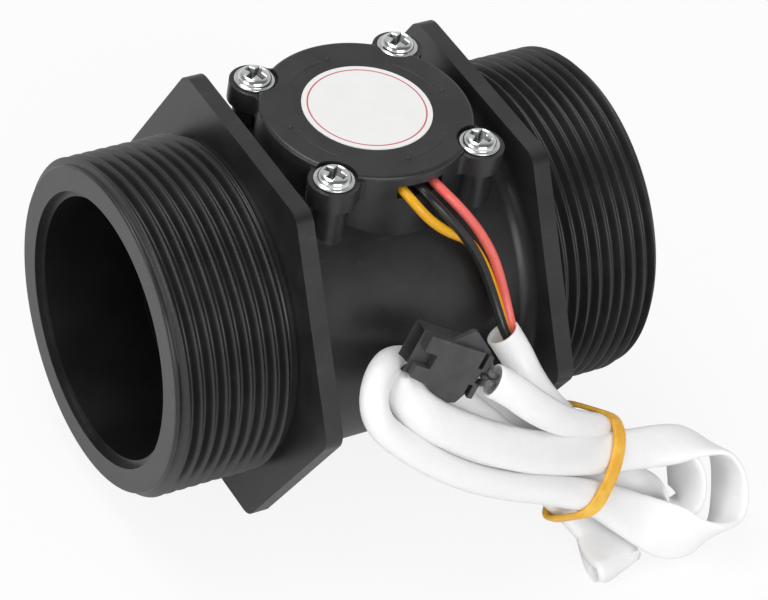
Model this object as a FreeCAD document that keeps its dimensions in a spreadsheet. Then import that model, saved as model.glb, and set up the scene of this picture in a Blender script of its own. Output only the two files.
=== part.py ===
"""Plastic turbine flow meter for a two inch pipe, with its signal lead tied in a hank in front of it.

A moulded pipe body carries a hexagon flange and a pipe thread at each end. Inside the bore two vaned supports hold a
steel shaft, and a rimmed six-blade rotor turns on it. Magnets in the rim pass under a Hall sensor, which sits in the dry
pocket of the round turret on top, under a cover held by four screws. Three wires leave the cover through a notch, run
into white sleeving and end in a small three-way connector.

Millimetres. X runs along the pipe from the inlet to the outlet, Z is up, and the wires leave towards -Y. The origin is
the middle of the base that the two flanges stand on.
"""

import FreeCAD, Part
import math
import os

import Sketcher
from FreeCAD import Placement, Rotation, Vector

os.makedirs("parts", exist_ok=True)
doc = FreeCAD.newDocument("FlowMeter")

# Driving dimensions

SIZES = [
    ("hex_across_flats", 68.6, "end flange, across its flats"),
    ("hex_corner_radius", 3.5, "rounding of the flange's six corners"),
    ("flange_thickness", 3.2, "end flange, along the pipe"),
    ("flange_root_radius", 2.5, "fillet between flange and tube"),
    ("thread_diameter", 59.6, "pipe thread, over its crests"),
    ("thread_length", 23.0, "threaded spigot, from flange to end face"),
    ("thread_chamfer", 1.2, "lead-in at the end face"),
    ("tube_diameter", 58.0, "tube between the flanges"),
    ("land_diameter", 42.6, "narrowest bore, around the rotor"),
    ("bore_diameter", 45.2, "bore around the supports"),
    ("entry_step", 0.4, "bore's wider stretch behind the mouth, over the bore"),
    ("entry_margin", 1.3, "from a support's nose to that stretch"),
    ("mouth_diameter", 48.4, "shallow recess at the end face"),
    ("mouth_depth", 1.4, "depth of that recess"),
    ("turret_diameter", 36.9, "round turret on top of the tube"),
    ("turret_room", 2.7, "from the turret's side to a flange"),
    ("turret_rise", 1.7, "turret's top above the tube's top"),
    ("turret_wall", 2.95, "turret's wall around its dry pocket"),
    ("pocket_wall", 3.2, "plastic left between the pocket and the bore"),
    ("screw_reach", 1.42, "from the turret's side out to a screw's axis"),
    ("boss_diameter", 6.1, "screw boss at its top"),
    ("boss_draft", 2.0, "mould draft of the boss, in degrees"),
    ("screw_hole_diameter", 3.1, "hole for the screw in the boss"),
    ("screw_hole_depth", 9.0, "depth of that hole"),
    ("cover_thickness", 4.7, "cover, from its seat to its top"),
    ("cover_edge_radius", 0.8, "rounding of the cover's top edge"),
    ("cover_cavity_depth", 2.4, "hollow under the cover"),
    ("ear_diameter", 8.7, "screw ear of the cover"),
    ("ear_thickness", 3.8, "screw ear, from its seat to its top"),
    ("ear_root_radius", 1.4, "fillet between ear and cover"),
    ("ear_hole_diameter", 3.9, "clearance hole in the ear"),
    ("notch_width", 8.8, "wire notch in the cover's rim"),
    ("notch_height", 2.5, "wire notch, up from the seat"),
    ("notch_offset", 0.6, "notch's middle, towards the outlet"),
    ("label_diameter", 22.4, "label on the cover"),
    ("label_thickness", 0.15, "label"),
    ("head_diameter", 7.2, "pan head of a cover screw"),
    ("head_height", 2.5, "pan head"),
    ("shank_diameter", 3.0, "cover screw's shank"),
    ("shank_length", 11.6, "cover screw's shank, with its point"),
    ("head_clearance", 0.4, "between a screw head and the cover's wall beside it"),
    ("recess_width", 1.1, "cross recess, one slot's width"),
    ("recess_depth", 1.3, "cross recess"),
    ("support_seat", 12.0, "seat of a rotor support, from the middle"),
    ("support_width", 8.0, "support's outer ring, along the pipe"),
    ("support_clearance", 0.1, "between the ring and the bore"),
    ("vane_thickness", 1.5, "flow-straightening vane"),
    ("vane_count", 4, "vanes in a support"),
    ("support_hub_diameter", 11.0, "support's hub"),
    ("nose_length", 6.5, "streamlined nose, past the vanes"),
    ("nose_tip_diameter", 5.0, "flat at the nose's tip before it is rounded"),
    ("ring_thickness", 1.2, "retaining ring, along the pipe"),
    ("ring_play", 0.1, "retaining ring's play in its groove"),
    ("ring_groove_depth", 1.1, "groove that holds the retaining ring"),
    ("ring_band", 2.6, "retaining ring, from its outer to its inner edge"),
    ("ring_gap", 4.6, "gap between the retaining ring's ends"),
    ("ring_lug_diameter", 4.4, "lug at each end of the retaining ring"),
    ("ring_lug_hole", 1.7, "plier hole in a lug"),
    ("bush_diameter", 6.0, "bearing bush"),
    ("bush_length", 6.0, "bearing bush"),
    ("shaft_diameter", 3.0, "rotor shaft"),
    ("shaft_clearance", 0.05, "between shaft and bush, all round"),
    ("shaft_end_gap", 0.3, "between the shaft's end and its bush's floor"),
    ("rotor_hub_diameter", 14.0, "rotor's hub"),
    ("rotor_hub_length", 16.0, "rotor's hub"),
    ("rotor_hub_chamfer", 1.1, "rotor hub's end edges"),
    ("rotor_end_play", 0.3, "between a thrust washer and its bush"),
    ("blade_count", 6, "rotor blades"),
    ("blade_thickness", 1.3, "rotor blade"),
    ("blade_length", 13.0, "rotor blade, along the pipe"),
    ("blade_lead", 90.0, "travel in which a blade turns once round"),
    ("rim_clearance", 0.4, "between the rotor's rim and the bore"),
    ("rim_thickness", 2.3, "rotor's rim"),
    ("rim_width", 6.0, "rotor's rim, along the pipe"),
    ("magnet_diameter", 3.0, "rotor magnet"),
    ("magnet_length", 1.6, "rotor magnet"),
    ("magnet_count", 4, "magnets in the rim"),
    ("magnet_sink", 0.2, "magnet's face below the rim"),
    ("washer_diameter", 5.6, "thrust washer"),
    ("washer_thickness", 0.5, "thrust washer"),
    ("board_length", 19.0, "Hall board, along the pipe"),
    ("board_width", 13.0, "Hall board, across"),
    ("board_thickness", 1.6, "Hall board"),
    ("board_corner_radius", 1.5, "Hall board's corners"),
    ("board_lift", 2.7, "Hall board above the pocket's floor"),
    ("sensor_width", 4.1, "Hall sensor's case"),
    ("sensor_length", 3.0, "Hall sensor's case"),
    ("sensor_thickness", 1.5, "Hall sensor's case"),
    ("lead_pitch", 1.27, "between the sensor's leads"),
    ("lead_width", 0.42, "sensor's lead"),
    ("capacitor_diameter", 3.2, "capacitor on the board"),
    ("capacitor_length", 5.0, "capacitor on the board"),
    ("resistor_width", 1.6, "resistor on the board"),
    ("resistor_length", 3.2, "resistor on the board"),
    ("resistor_height", 0.7, "resistor on the board"),
    ("resin_gap", 0.3, "resin's surface below the turret's top"),
    ("wire_diameter", 1.75, "insulated wire"),
    ("wire_rise", 0.2, "wire above the turret's rim in the notch"),
    ("sleeve_diameter", 6.0, "sleeving over the wires"),
    ("band_width", 2.3, "rubber band"),
    ("band_thickness", 1.0, "rubber band"),
    ("band_clearance", 0.3, "between the band and the hank"),
    ("hank_waist_height", 18.6, "hank where the band ties it, across its rows"),
    ("hank_waist_depth", 12.4, "hank where the band ties it, through its rows"),
    ("connector_length", 12.6, "connector housing, along its wires"),
    ("connector_width", 8.6, "connector housing, across its three ways"),
    ("connector_height", 5.8, "connector housing, through its latch side"),
    ("connector_corner", 0.4, "rounding of the housing's long edges"),
    ("connector_pitch", 2.5, "between the connector's ways"),
    ("way_width", 1.9, "a way's square opening"),
    ("way_depth", 8.0, "a way's depth from the mating face"),
    ("key_width", 2.9, "key notch in the housing's front, across the ways"),
    ("key_length", 1.7, "key notch, along the wires"),
    ("window_width", 2.4, "retainer window at the wire end, across the ways"),
    ("window_length", 1.2, "retainer window, along the wires"),
    ("window_depth", 1.4, "key notch and windows, into the housing"),
    ("rib_rise", 1.3, "side ribs, out from the housing"),
    ("rib_length", 6.4, "rib on the lower side"),
    ("pin_width", 0.64, "square contact pin"),
    ("tail_diameter", 1.35, "wire between sleeving and connector"),
]

sheet = doc.addObject("Spreadsheet::Sheet", "Sizes")
for row, (alias, value, note) in enumerate(SIZES, start=1):
    sheet.set(f"A{row}", note)
    sheet.set(f"B{row}", str(value))
    sheet.setAlias(f"B{row}", alias)
doc.recompute()


class Size(float):
    """A number that remembers the sheet expression that gives it."""

    def __new__(cls, value, text):
        number = super().__new__(cls, value)
        number.text = text
        return number

    def __add__(self, other):
        return Size(float(self) + float(other), f"({self.text} + {text_of(other)})")

    def __sub__(self, other):
        return Size(float(self) - float(other), f"({self.text} - {text_of(other)})")

    def __mul__(self, other):
        return Size(float(self) * float(other), f"({self.text} * {text_of(other)})")

    def __truediv__(self, other):
        return Size(float(self) / float(other), f"({self.text} / {text_of(other)})")

    def __neg__(self):
        return Size(-float(self), f"(-1 * {self.text})")

    __radd__ = __add__
    __rmul__ = __mul__


def text_of(number):
    return number.text if isinstance(number, Size) else repr(float(number))


def size(alias):
    return Size(sheet.get(alias), f"Sizes.{alias}")


# Places that several pieces share, measured from the pipe axis and the middle of the pipe

AXIS_HEIGHT = size("hex_across_flats") / 2
TURRET_RADIUS = size("turret_diameter") / 2
FLANGE_IN = TURRET_RADIUS + size("turret_room")
FLANGE_OUT = FLANGE_IN + size("flange_thickness")
END = FLANGE_OUT + size("thread_length")
HEX_RADIUS = size("hex_across_flats") * (1 / math.sqrt(3))
LAND_RADIUS = size("land_diameter") / 2
BORE_RADIUS = size("bore_diameter") / 2
SEAT = size("support_seat")
SUPPORT_OUT = SEAT + size("support_width")
NOSE_END = SUPPORT_OUT + size("nose_length")
ENTRY = NOSE_END + size("entry_margin")
GROOVE_OUT = SUPPORT_OUT + size("ring_thickness") + size("ring_play") * 2
GROOVE_RADIUS = BORE_RADIUS + size("ring_groove_depth")
POCKET_RADIUS = TURRET_RADIUS - size("turret_wall")
TUBE_RADIUS = size("tube_diameter") / 2
TURRET_TOP = TUBE_RADIUS + size("turret_rise")
POCKET_FLOOR = LAND_RADIUS + size("pocket_wall")
COVER_TOP = TURRET_TOP + size("cover_thickness")
EAR_TOP = TURRET_TOP + size("ear_thickness")
SCREW_AT = (TURRET_RADIUS + size("screw_reach")) * math.sqrt(0.5)
ROTOR_HALF = size("rotor_hub_length") / 2
HUB_IN = ROTOR_HALF + size("washer_thickness") + size("rotor_end_play")
SHAFT_RADIUS = size("shaft_diameter") / 2
RIM_RADIUS = LAND_RADIUS - size("rim_clearance")
BOARD_BOTTOM = POCKET_FLOOR + size("board_lift")
BOARD_TOP = BOARD_BOTTOM + size("board_thickness")
RESIN_TOP = TURRET_TOP - size("resin_gap")

# Helpers for parametric features

nodes = []


def node(item, label, lift=True):
    """Name a finished sub-part, and lift it from the pipe axis to its place above the base."""
    item.Label = label
    if lift:
        item.setExpression("Placement.Base.z", AXIS_HEIGHT.text)
    nodes.append(item)
    return item


def bind(item, **lengths):
    for name, length in lengths.items():
        item.setExpression(name, text_of(length))
    return item


def new_body(name):
    return doc.addObject("PartDesign::Body", name)


def origin_of(body, role):
    return next(part for part in body.Origin.OriginFeatures if part.Role == role)


def sketch(body, name, plane, offset=None, turn=None):
    """A sketch on one of the body's own planes, moved along the plane's normal and turned in it."""
    made = body.newObject("Sketcher::SketchObject", name)
    made.AttachmentSupport = [(origin_of(body, plane), "")]
    made.MapMode = "FlatFace"
    if offset is not None:
        made.setExpression("AttachmentOffset.Base.z", text_of(offset))
    if turn is not None:
        made.setExpression("AttachmentOffset.Rotation.Angle", text_of(turn))
    return made


def fix_point(made, geometry, vertex, x, y):
    """Tie one point of a sketch to its place, by the sheet's values."""
    for axis, kind, place in ((-2, "DistanceX", x), (-1, "DistanceY", y)):
        if float(place) == 0:
            made.addConstraint(Sketcher.Constraint("PointOnObject", geometry, vertex, axis))
            continue
        index = made.addConstraint(
            Sketcher.Constraint(kind, -1, 1, geometry, vertex, float(place))
        )
        made.setExpression(f"Constraints[{index}]", text_of(place))


def circle(made, radius, x=0, y=0):
    centre = Vector(float(x), float(y), 0)
    geometry = made.addGeometry(Part.Circle(centre, Vector(0, 0, 1), float(radius)))
    if float(x) == 0 and float(y) == 0:
        made.addConstraint(Sketcher.Constraint("Coincident", geometry, 3, -1, 1))
    else:
        fix_point(made, geometry, 3, x, y)
    index = made.addConstraint(Sketcher.Constraint("Radius", geometry, float(radius)))
    made.setExpression(f"Constraints[{index}]", text_of(radius))
    return made


def outline(made, points):
    """A closed outline of straight sides, with every corner tied to the sheet."""
    count = len(points)
    lines = []
    for index in range(count):
        start = Vector(*map(float, points[index]), 0)
        end = Vector(*map(float, points[(index + 1) % count]), 0)
        lines.append(made.addGeometry(Part.LineSegment(start, end)))
    for index in range(count):
        made.addConstraint(
            Sketcher.Constraint("Coincident", lines[index - 1], 2, lines[index], 1)
        )
        fix_point(made, lines[index], 1, *points[index])
    return made


def box_outline(made, low, high):
    return outline(made, [low, (high[0], low[1]), high, (low[0], high[1])])


def pad(body, name, profile, length, backwards=False, taper=None):
    made = body.newObject("PartDesign::Pad", name)
    made.Profile = profile
    made.Reversed = backwards
    bind(made, Length=length)
    if taper is not None:
        bind(made, TaperAngle=taper)
    return made


def pocket(body, name, profile, depth, backwards=False):
    """Cut along the sketch's normal, against it unless it runs backwards."""
    made = body.newObject("PartDesign::Pocket", name)
    made.Profile = profile
    made.Reversed = backwards
    return bind(made, Length=depth)


def turned(body, kind, name, profile, role="X_Axis"):
    made = body.newObject(f"PartDesign::{kind}", name)
    made.Profile = profile
    made.ReferenceAxis = (origin_of(body, role), [""])
    made.Angle = 360
    return made


def around(body, name, features, count, role):
    """Repeat features evenly round one of the body's axes."""
    made = body.newObject("PartDesign::PolarPattern", name)
    made.Originals = features
    made.Axis = (origin_of(body, role), [""])
    made.Angle = 360
    bind(made, Occurrences=count)
    body.Tip = made
    return made


def mirrored(body, name, features, role="YZ_Plane"):
    made = body.newObject("PartDesign::Mirrored", name)
    made.Originals = features
    made.MirrorPlane = (origin_of(body, role), [""])
    body.Tip = made
    return made


def finish_edges(body, kind, name, amount, wanted):
    """Round or bevel the edges of the body so far that the test picks."""
    doc.recompute()
    base = body.Tip
    picked = [
        f"Edge{index}"
        for index, edge in enumerate(base.Shape.Edges, start=1)
        if wanted(edge)
    ]
    made = body.newObject(f"PartDesign::{kind}", name)
    made.Base = (base, picked)
    bind(made, **{"Radius" if kind == "Fillet" else "Size": amount})
    return made


def near(a, b):
    return abs(float(a) - float(b)) < 0.01


def is_circle(edge, radius):
    return isinstance(edge.Curve, Part.Circle) and near(edge.Curve.Radius, radius)


def object_name(label):
    return label.title().replace("_", "")


def feature(name, shape):
    made = doc.addObject("Part::Feature", name)
    made.Shape = shape
    return made


# Pipe body


def pipe_body():
    """One moulding: tube, two hexagon flanges, two threaded spigots, turret and screw bosses."""
    body = new_body("PipeBody")

    tube = sketch(body, "TubeOutline", "YZ_Plane", -FLANGE_OUT)
    circle(tube, TUBE_RADIUS)
    pad(body, "Tube", tube, FLANGE_OUT * 2)

    half_side = HEX_RADIUS / 2
    flat = size("hex_across_flats") / 2
    hexagon = sketch(body, "FlangeOutline", "YZ_Plane", FLANGE_IN)
    outline(
        hexagon,
        [
            (HEX_RADIUS, 0),
            (half_side, flat),
            (-half_side, flat),
            (-HEX_RADIUS, 0),
            (-half_side, -flat),
            (half_side, -flat),
        ],
    )
    flange = pad(body, "Flange", hexagon, size("flange_thickness"))

    thread = sketch(body, "SpigotOutline", "YZ_Plane", FLANGE_OUT)
    circle(thread, size("thread_diameter") / 2)
    spigot = pad(body, "Spigot", thread, size("thread_length"))
    mirrored(body, "BothEnds", [flange, spigot])

    def flange_corner(edge):
        straight = isinstance(edge.Curve, Part.Line)
        return straight and near(math.hypot(edge.CenterOfMass.y, edge.CenterOfMass.z), HEX_RADIUS)

    def flange_root(edge):
        return is_circle(edge, TUBE_RADIUS) and near(
            abs(edge.CenterOfMass.x), FLANGE_IN
        )

    def spigot_end(edge):
        return is_circle(edge, size("thread_diameter") / 2) and near(
            abs(edge.CenterOfMass.x), END
        )

    finish_edges(body, "Fillet", "FlangeCorners", size("hex_corner_radius"), flange_corner)
    finish_edges(body, "Fillet", "FlangeRoots", size("flange_root_radius"), flange_root)
    finish_edges(body, "Chamfer", "ThreadLeadIns", size("thread_chamfer"), spigot_end)

    turret = sketch(body, "TurretOutline", "XY_Plane")
    circle(turret, TURRET_RADIUS)
    pad(body, "Turret", turret, TURRET_TOP)

    boss = sketch(body, "BossOutline", "XY_Plane", TURRET_TOP)
    circle(boss, size("boss_diameter") / 2, SCREW_AT, SCREW_AT)
    boss_pad = pad(
        body, "Boss", boss, TURRET_TOP - BORE_RADIUS / 2, True, size("boss_draft")
    )
    around(body, "Bosses", [boss_pad], 4, "Z_Axis")

    mouth_floor = END - size("mouth_depth")
    mouth_radius = size("mouth_diameter") / 2
    entry_radius = BORE_RADIUS + size("entry_step")
    bore = sketch(body, "BoreProfile", "XZ_Plane")
    outline(
        bore,
        [
            (0, 0),
            (END, 0),
            (END, mouth_radius),
            (mouth_floor, mouth_radius),
            (mouth_floor, entry_radius),
            (ENTRY, entry_radius),
            (ENTRY, BORE_RADIUS),
            (GROOVE_OUT, BORE_RADIUS),
            (GROOVE_OUT, GROOVE_RADIUS),
            (SUPPORT_OUT, GROOVE_RADIUS),
            (SUPPORT_OUT, BORE_RADIUS),
            (SEAT, BORE_RADIUS),
            (SEAT, LAND_RADIUS),
            (0, LAND_RADIUS),
        ],
    )
    bore_cut = turned(body, "Groove", "Bore", bore)
    mirrored(body, "BothBores", [bore_cut])

    dry_pocket = sketch(body, "PocketOutline", "XY_Plane", TURRET_TOP)
    circle(dry_pocket, POCKET_RADIUS)
    pocket(body, "DryPocket", dry_pocket, TURRET_TOP - POCKET_FLOOR)

    hole = sketch(body, "ScrewHoleOutline", "XY_Plane", TURRET_TOP)
    circle(hole, size("screw_hole_diameter") / 2, SCREW_AT, SCREW_AT)
    screw_hole = pocket(body, "ScrewHole", hole, size("screw_hole_depth"))
    around(body, "ScrewHoles", [screw_hole], 4, "Z_Axis")
    return node(body, "pipe_body")


# Cover, label and screws


def cover():
    """Round cap with four screw ears, hollow underneath, with a notch for the wires at the front."""
    body = new_body("Cover")
    radius = TURRET_RADIUS
    cavity_radius = POCKET_RADIUS

    disc = sketch(body, "CoverOutline", "XY_Plane", TURRET_TOP)
    circle(disc, radius)
    pad(body, "CoverDisc", disc, size("cover_thickness"))

    ear = sketch(body, "EarOutline", "XY_Plane", TURRET_TOP)
    circle(ear, size("ear_diameter") / 2, SCREW_AT, SCREW_AT)
    ear_pad = pad(body, "Ear", ear, size("ear_thickness"))
    around(body, "Ears", [ear_pad], 4, "Z_Axis")

    def ear_root(edge):
        middle = edge.CenterOfMass
        from_screw = math.hypot(abs(middle.x) - SCREW_AT, abs(middle.y) - SCREW_AT)
        upright = isinstance(edge.Curve, Part.Line) and edge.BoundBox.ZLength > 0.1
        inside = near(math.hypot(middle.x, middle.y), radius)
        return upright and inside and near(from_screw, size("ear_diameter") / 2)

    finish_edges(body, "Fillet", "EarRoots", size("ear_root_radius"), ear_root)

    def top_edge(edge):
        return is_circle(edge, radius) and near(edge.CenterOfMass.z, COVER_TOP)

    finish_edges(body, "Fillet", "TopEdge", size("cover_edge_radius"), top_edge)

    cavity = sketch(body, "CavityOutline", "XY_Plane", TURRET_TOP)
    circle(cavity, cavity_radius)
    pocket(body, "Cavity", cavity, size("cover_cavity_depth"), True)

    notch_half = size("notch_width") / 2
    notch = sketch(body, "NotchOutline", "XY_Plane", TURRET_TOP)
    box_outline(
        notch,
        (size("notch_offset") - notch_half, -radius * 1.2),
        (size("notch_offset") + notch_half, -cavity_radius * 0.8),
    )
    pocket(body, "WireNotch", notch, size("notch_height"), True)

    seat = sketch(body, "HeadSeatOutline", "XY_Plane", EAR_TOP)
    circle(seat, size("head_diameter") / 2 + size("head_clearance"), SCREW_AT, SCREW_AT)
    head_seat = pocket(body, "HeadSeat", seat, size("cover_thickness"), True)
    around(body, "HeadSeats", [head_seat], 4, "Z_Axis")

    hole = sketch(body, "EarHoleOutline", "XY_Plane", TURRET_TOP)
    circle(hole, size("ear_hole_diameter") / 2, SCREW_AT, SCREW_AT)
    ear_hole = pocket(body, "EarHole", hole, size("cover_thickness"), True)
    around(body, "EarHoles", [ear_hole], 4, "Z_Axis")
    return node(body, "cover")


def label_disc():
    disc = doc.addObject("Part::Cylinder", "LabelDisc")
    bind(disc, Radius=size("label_diameter") / 2, Height=size("label_thickness"))
    node(disc, "label_disc", lift=False)
    disc.setExpression("Placement.Base.z", text_of(AXIS_HEIGHT + COVER_TOP))
    return disc


def cover_screw(number):
    """A pan-head screw with a blunt point and a cross recess, in one corner of the cover."""
    body = new_body(f"CoverScrew{number}")
    head = size("head_diameter") / 2
    height = size("head_height")
    shank = size("shank_diameter") / 2
    length = size("shank_length")
    profile = sketch(body, "ScrewProfile", "XZ_Plane")
    outline(
        profile,
        [
            (0, -length),
            (shank / 3, -length),
            (shank, -length + shank),
            (shank, 0),
            (head, 0),
            (head, height),
            (0, height),
        ],
    )
    turned(body, "Revolution", "Screw", profile, "Z_Axis")
    finish_edges(
        body,
        "Fillet",
        "HeadRounding",
        height * 0.6,
        lambda edge: is_circle(edge, head) and near(edge.CenterOfMass.z, height),
    )
    reach = head * 0.6
    half_slot = size("recess_width") / 2
    for index, (across, along) in enumerate(((reach, half_slot), (half_slot, reach))):
        slot = sketch(body, f"RecessOutline{index}", "XY_Plane", height)
        box_outline(slot, (-across, -along), (across, along))
        pocket(body, f"Recess{index}", slot, size("recess_depth"))
    side_x = 1 if number in (1, 4) else -1
    side_y = 1 if number in (1, 2) else -1
    body.setExpression("Placement.Base.x", text_of(SCREW_AT * side_x))
    body.setExpression("Placement.Base.y", text_of(SCREW_AT * side_y))
    node(body, f"cover_screw_{number}", lift=False)
    body.setExpression("Placement.Base.z", text_of(AXIS_HEIGHT + EAR_TOP))
    return body


# Rotor and its supports


def support(label, inlet):
    """A ring on the bore's seat, four vanes, and a hub with a rounded nose that holds a bush."""
    body = new_body(object_name(label))
    hub_radius = size("support_hub_diameter") / 2
    tip = size("nose_tip_diameter") / 2

    ring = sketch(body, "RingOutline", "YZ_Plane", SEAT)
    circle(ring, BORE_RADIUS - size("support_clearance"))
    circle(ring, LAND_RADIUS)
    pad(body, "Ring", ring, size("support_width"))

    vane_half = size("vane_thickness") / 2
    vane = sketch(body, "VaneOutline", "YZ_Plane", SEAT)
    box_outline(vane, (-vane_half, hub_radius / 2), (vane_half, LAND_RADIUS + 0.4))
    vane_pad = pad(body, "Vane", vane, size("support_width"))
    around(body, "Vanes", [vane_pad], size("vane_count"), "X_Axis")

    hub = sketch(body, "HubProfile", "XZ_Plane")
    outline(
        hub,
        [
            (HUB_IN, 0),
            (NOSE_END, 0),
            (NOSE_END, tip),
            (SUPPORT_OUT, hub_radius),
            (HUB_IN, hub_radius),
        ],
    )
    turned(body, "Revolution", "Hub", hub)

    def nose_edge(edge):
        return is_circle(edge, tip) and near(edge.CenterOfMass.x, NOSE_END)

    finish_edges(body, "Fillet", "NoseTip", size("nose_tip_diameter") * 0.4, nose_edge)

    seat = sketch(body, "BushSeatOutline", "YZ_Plane", HUB_IN)
    circle(seat, size("bush_diameter") / 2)
    pocket(body, "BushSeat", seat, size("bush_length") + size("shaft_end_gap") * 2, True)
    node(body, label)
    if inlet:
        body.Placement.Rotation = Rotation(Vector(0, 0, 1), 180)
    return body


def retaining_ring(label, inlet):
    """An open spring ring in the bore's groove, with a lug and a plier hole at each end."""
    body = new_body(object_name(label))
    outer = GROOVE_RADIUS - size("ring_play")
    inner = outer - size("ring_band")
    lug = size("ring_lug_diameter") / 2
    lug_side = size("ring_gap") / 2 + lug * 0.8
    lug_height = inner - lug * 0.2
    start = SUPPORT_OUT + size("ring_play")

    ring = sketch(body, "RingOutline", "YZ_Plane", start)
    circle(ring, outer)
    circle(ring, inner)
    pad(body, "Ring", ring, size("ring_thickness"))

    gap_half = size("ring_gap") / 2
    gap = sketch(body, "GapOutline", "YZ_Plane", start + size("ring_thickness"))
    box_outline(gap, (-gap_half, inner / 2), (gap_half, outer * 1.1))
    pocket(body, "Gap", gap, size("ring_thickness") * 2)

    lug_outline = sketch(body, "LugOutline", "YZ_Plane", start)
    circle(lug_outline, lug, lug_side, lug_height)
    lug_pad = pad(body, "Lug", lug_outline, size("ring_thickness"))
    hole_outline = sketch(body, "LugHoleOutline", "YZ_Plane", start + size("ring_thickness"))
    circle(hole_outline, size("ring_lug_hole") / 2, lug_side, lug_height)
    hole = pocket(body, "LugHole", hole_outline, size("ring_thickness") * 2)
    mirrored(body, "BothLugs", [lug_pad, hole], "XZ_Plane")
    node(body, label)
    if inlet:
        body.Placement.Rotation = Rotation(Vector(0, 0, 1), 180)
    return body


def along_x(item, start):
    """Lay a cylinder along the pipe axis, starting at that distance from the middle."""
    item.Placement.Rotation = Rotation(Vector(0, 1, 0), 90)
    item.setExpression("Placement.Base.x", text_of(start))
    item.setExpression("Placement.Base.z", AXIS_HEIGHT.text)
    return item


def tube_ring(name, outer, inner, length, start):
    """A plain ring on the pipe axis: a bush or a washer."""
    solid = bind(doc.addObject("Part::Cylinder", name + "Solid"), Radius=outer, Height=length)
    hole = bind(doc.addObject("Part::Cylinder", name + "Hole"), Radius=inner, Height=length)
    along_x(solid, start)
    along_x(hole, start)
    ring = doc.addObject("Part::Cut", name)
    ring.Base = solid
    ring.Tool = hole
    return ring


def bush(label, inlet):
    start = -HUB_IN - size("bush_length") if inlet else HUB_IN
    ring = tube_ring(
        object_name(label),
        size("bush_diameter") / 2,
        SHAFT_RADIUS + size("shaft_clearance"),
        size("bush_length"),
        start,
    )
    return node(ring, label, lift=False)


def thrust_washer(label, inlet):
    start = -ROTOR_HALF - size("washer_thickness") if inlet else ROTOR_HALF
    outer = size("washer_diameter") / 2
    ring = tube_ring(object_name(label), outer, SHAFT_RADIUS, size("washer_thickness"), start)
    return node(ring, label, lift=False)


def rotor():
    """Hub, six helical blades and a rim, with a round pocket in the rim for each magnet."""
    body = new_body("Rotor")
    hub_radius = size("rotor_hub_diameter") / 2
    rim_inside = RIM_RADIUS - size("rim_thickness")
    rim_half = size("rim_width") / 2

    hub = sketch(body, "HubOutline", "YZ_Plane", -ROTOR_HALF)
    circle(hub, hub_radius)
    pad(body, "Hub", hub, size("rotor_hub_length"))
    finish_edges(
        body,
        "Chamfer",
        "HubEdges",
        size("rotor_hub_chamfer"),
        lambda edge: is_circle(edge, hub_radius),
    )

    stations = 5
    half_thickness = size("blade_thickness") / 2
    sections = []
    for station in range(stations):
        share = station / (stations - 1) - 0.5
        along = size("blade_length") * share
        twist = along * 360 / size("blade_lead")
        section = sketch(body, f"BladeSection{station}", "YZ_Plane", along, twist)
        box_outline(
            section,
            (-half_thickness, hub_radius * 0.8),
            (half_thickness, rim_inside + size("rim_thickness") / 3),
        )
        sections.append(section)
    blade = body.newObject("PartDesign::AdditiveLoft", "Blade")
    blade.Profile = sections[0]
    blade.Sections = sections[1:]
    blade.Ruled = False
    around(body, "Blades", [blade], size("blade_count"), "X_Axis")

    rim = sketch(body, "RimOutline", "YZ_Plane", -rim_half)
    circle(rim, RIM_RADIUS)
    circle(rim, rim_inside)
    pad(body, "Rim", rim, size("rim_width"))

    seat = sketch(body, "MagnetSeatOutline", "XY_Plane", RIM_RADIUS)
    circle(seat, size("magnet_diameter") / 2)
    magnet_seat = pocket(body, "MagnetSeat", seat, size("magnet_length") + size("magnet_sink"))
    around(body, "MagnetSeats", [magnet_seat], size("magnet_count"), "X_Axis")

    shaft_hole = sketch(body, "ShaftHoleOutline", "YZ_Plane", ROTOR_HALF)
    circle(shaft_hole, SHAFT_RADIUS)
    pocket(body, "ShaftHole", shaft_hole, size("rotor_hub_length"))
    return node(body, "rotor")


def rotor_magnet(number):
    """A disc magnet pressed into the rim from outside, its axis square to the shaft."""
    body = new_body(f"RotorMagnet{number}")
    face = RIM_RADIUS - size("magnet_sink")
    disc = sketch(body, "MagnetOutline", "XY_Plane", face)
    circle(disc, size("magnet_diameter") / 2)
    pad(body, "Magnet", disc, size("magnet_length"), True)
    body.Placement.Rotation = Rotation(Vector(1, 0, 0), 360 * (number - 1) / size("magnet_count"))
    return node(body, f"rotor_magnet_{number}")


def rotor_shaft():
    reach = HUB_IN + size("bush_length") + size("shaft_end_gap")
    shaft = doc.addObject("Part::Cylinder", "RotorShaft")
    bind(shaft, Radius=SHAFT_RADIUS, Height=reach * 2)
    along_x(shaft, -reach)
    return node(shaft, "rotor_shaft", lift=False)


# Electronics in the dry pocket


def sensor_leads():
    """The places of the sensor's three leads across the board, and how far they stand from it."""
    pitch = size("lead_pitch")
    return [-pitch, pitch * 0, pitch], size("sensor_length") / 2 + 1.2


def hall_board():
    body = new_body("HallBoard")
    half_length = size("board_length") / 2
    half_width = size("board_width") / 2
    board = sketch(body, "BoardOutline", "XY_Plane", BOARD_BOTTOM)
    box_outline(board, (-half_length, -half_width), (half_length, half_width))
    pad(body, "Board", board, size("board_thickness"))

    def corner(edge):
        upright = near(edge.BoundBox.ZLength, size("board_thickness"))
        return upright and isinstance(edge.Curve, Part.Line)

    finish_edges(body, "Fillet", "BoardCorners", size("board_corner_radius"), corner)
    rows, reach = sensor_leads()
    holes = sketch(body, "LeadHoles", "XY_Plane", BOARD_TOP)
    for row in rows:
        circle(holes, size("lead_width"), row, reach)
    pocket(body, "LeadHolePockets", holes, size("board_thickness"))
    return node(body, "hall_board")


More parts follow.
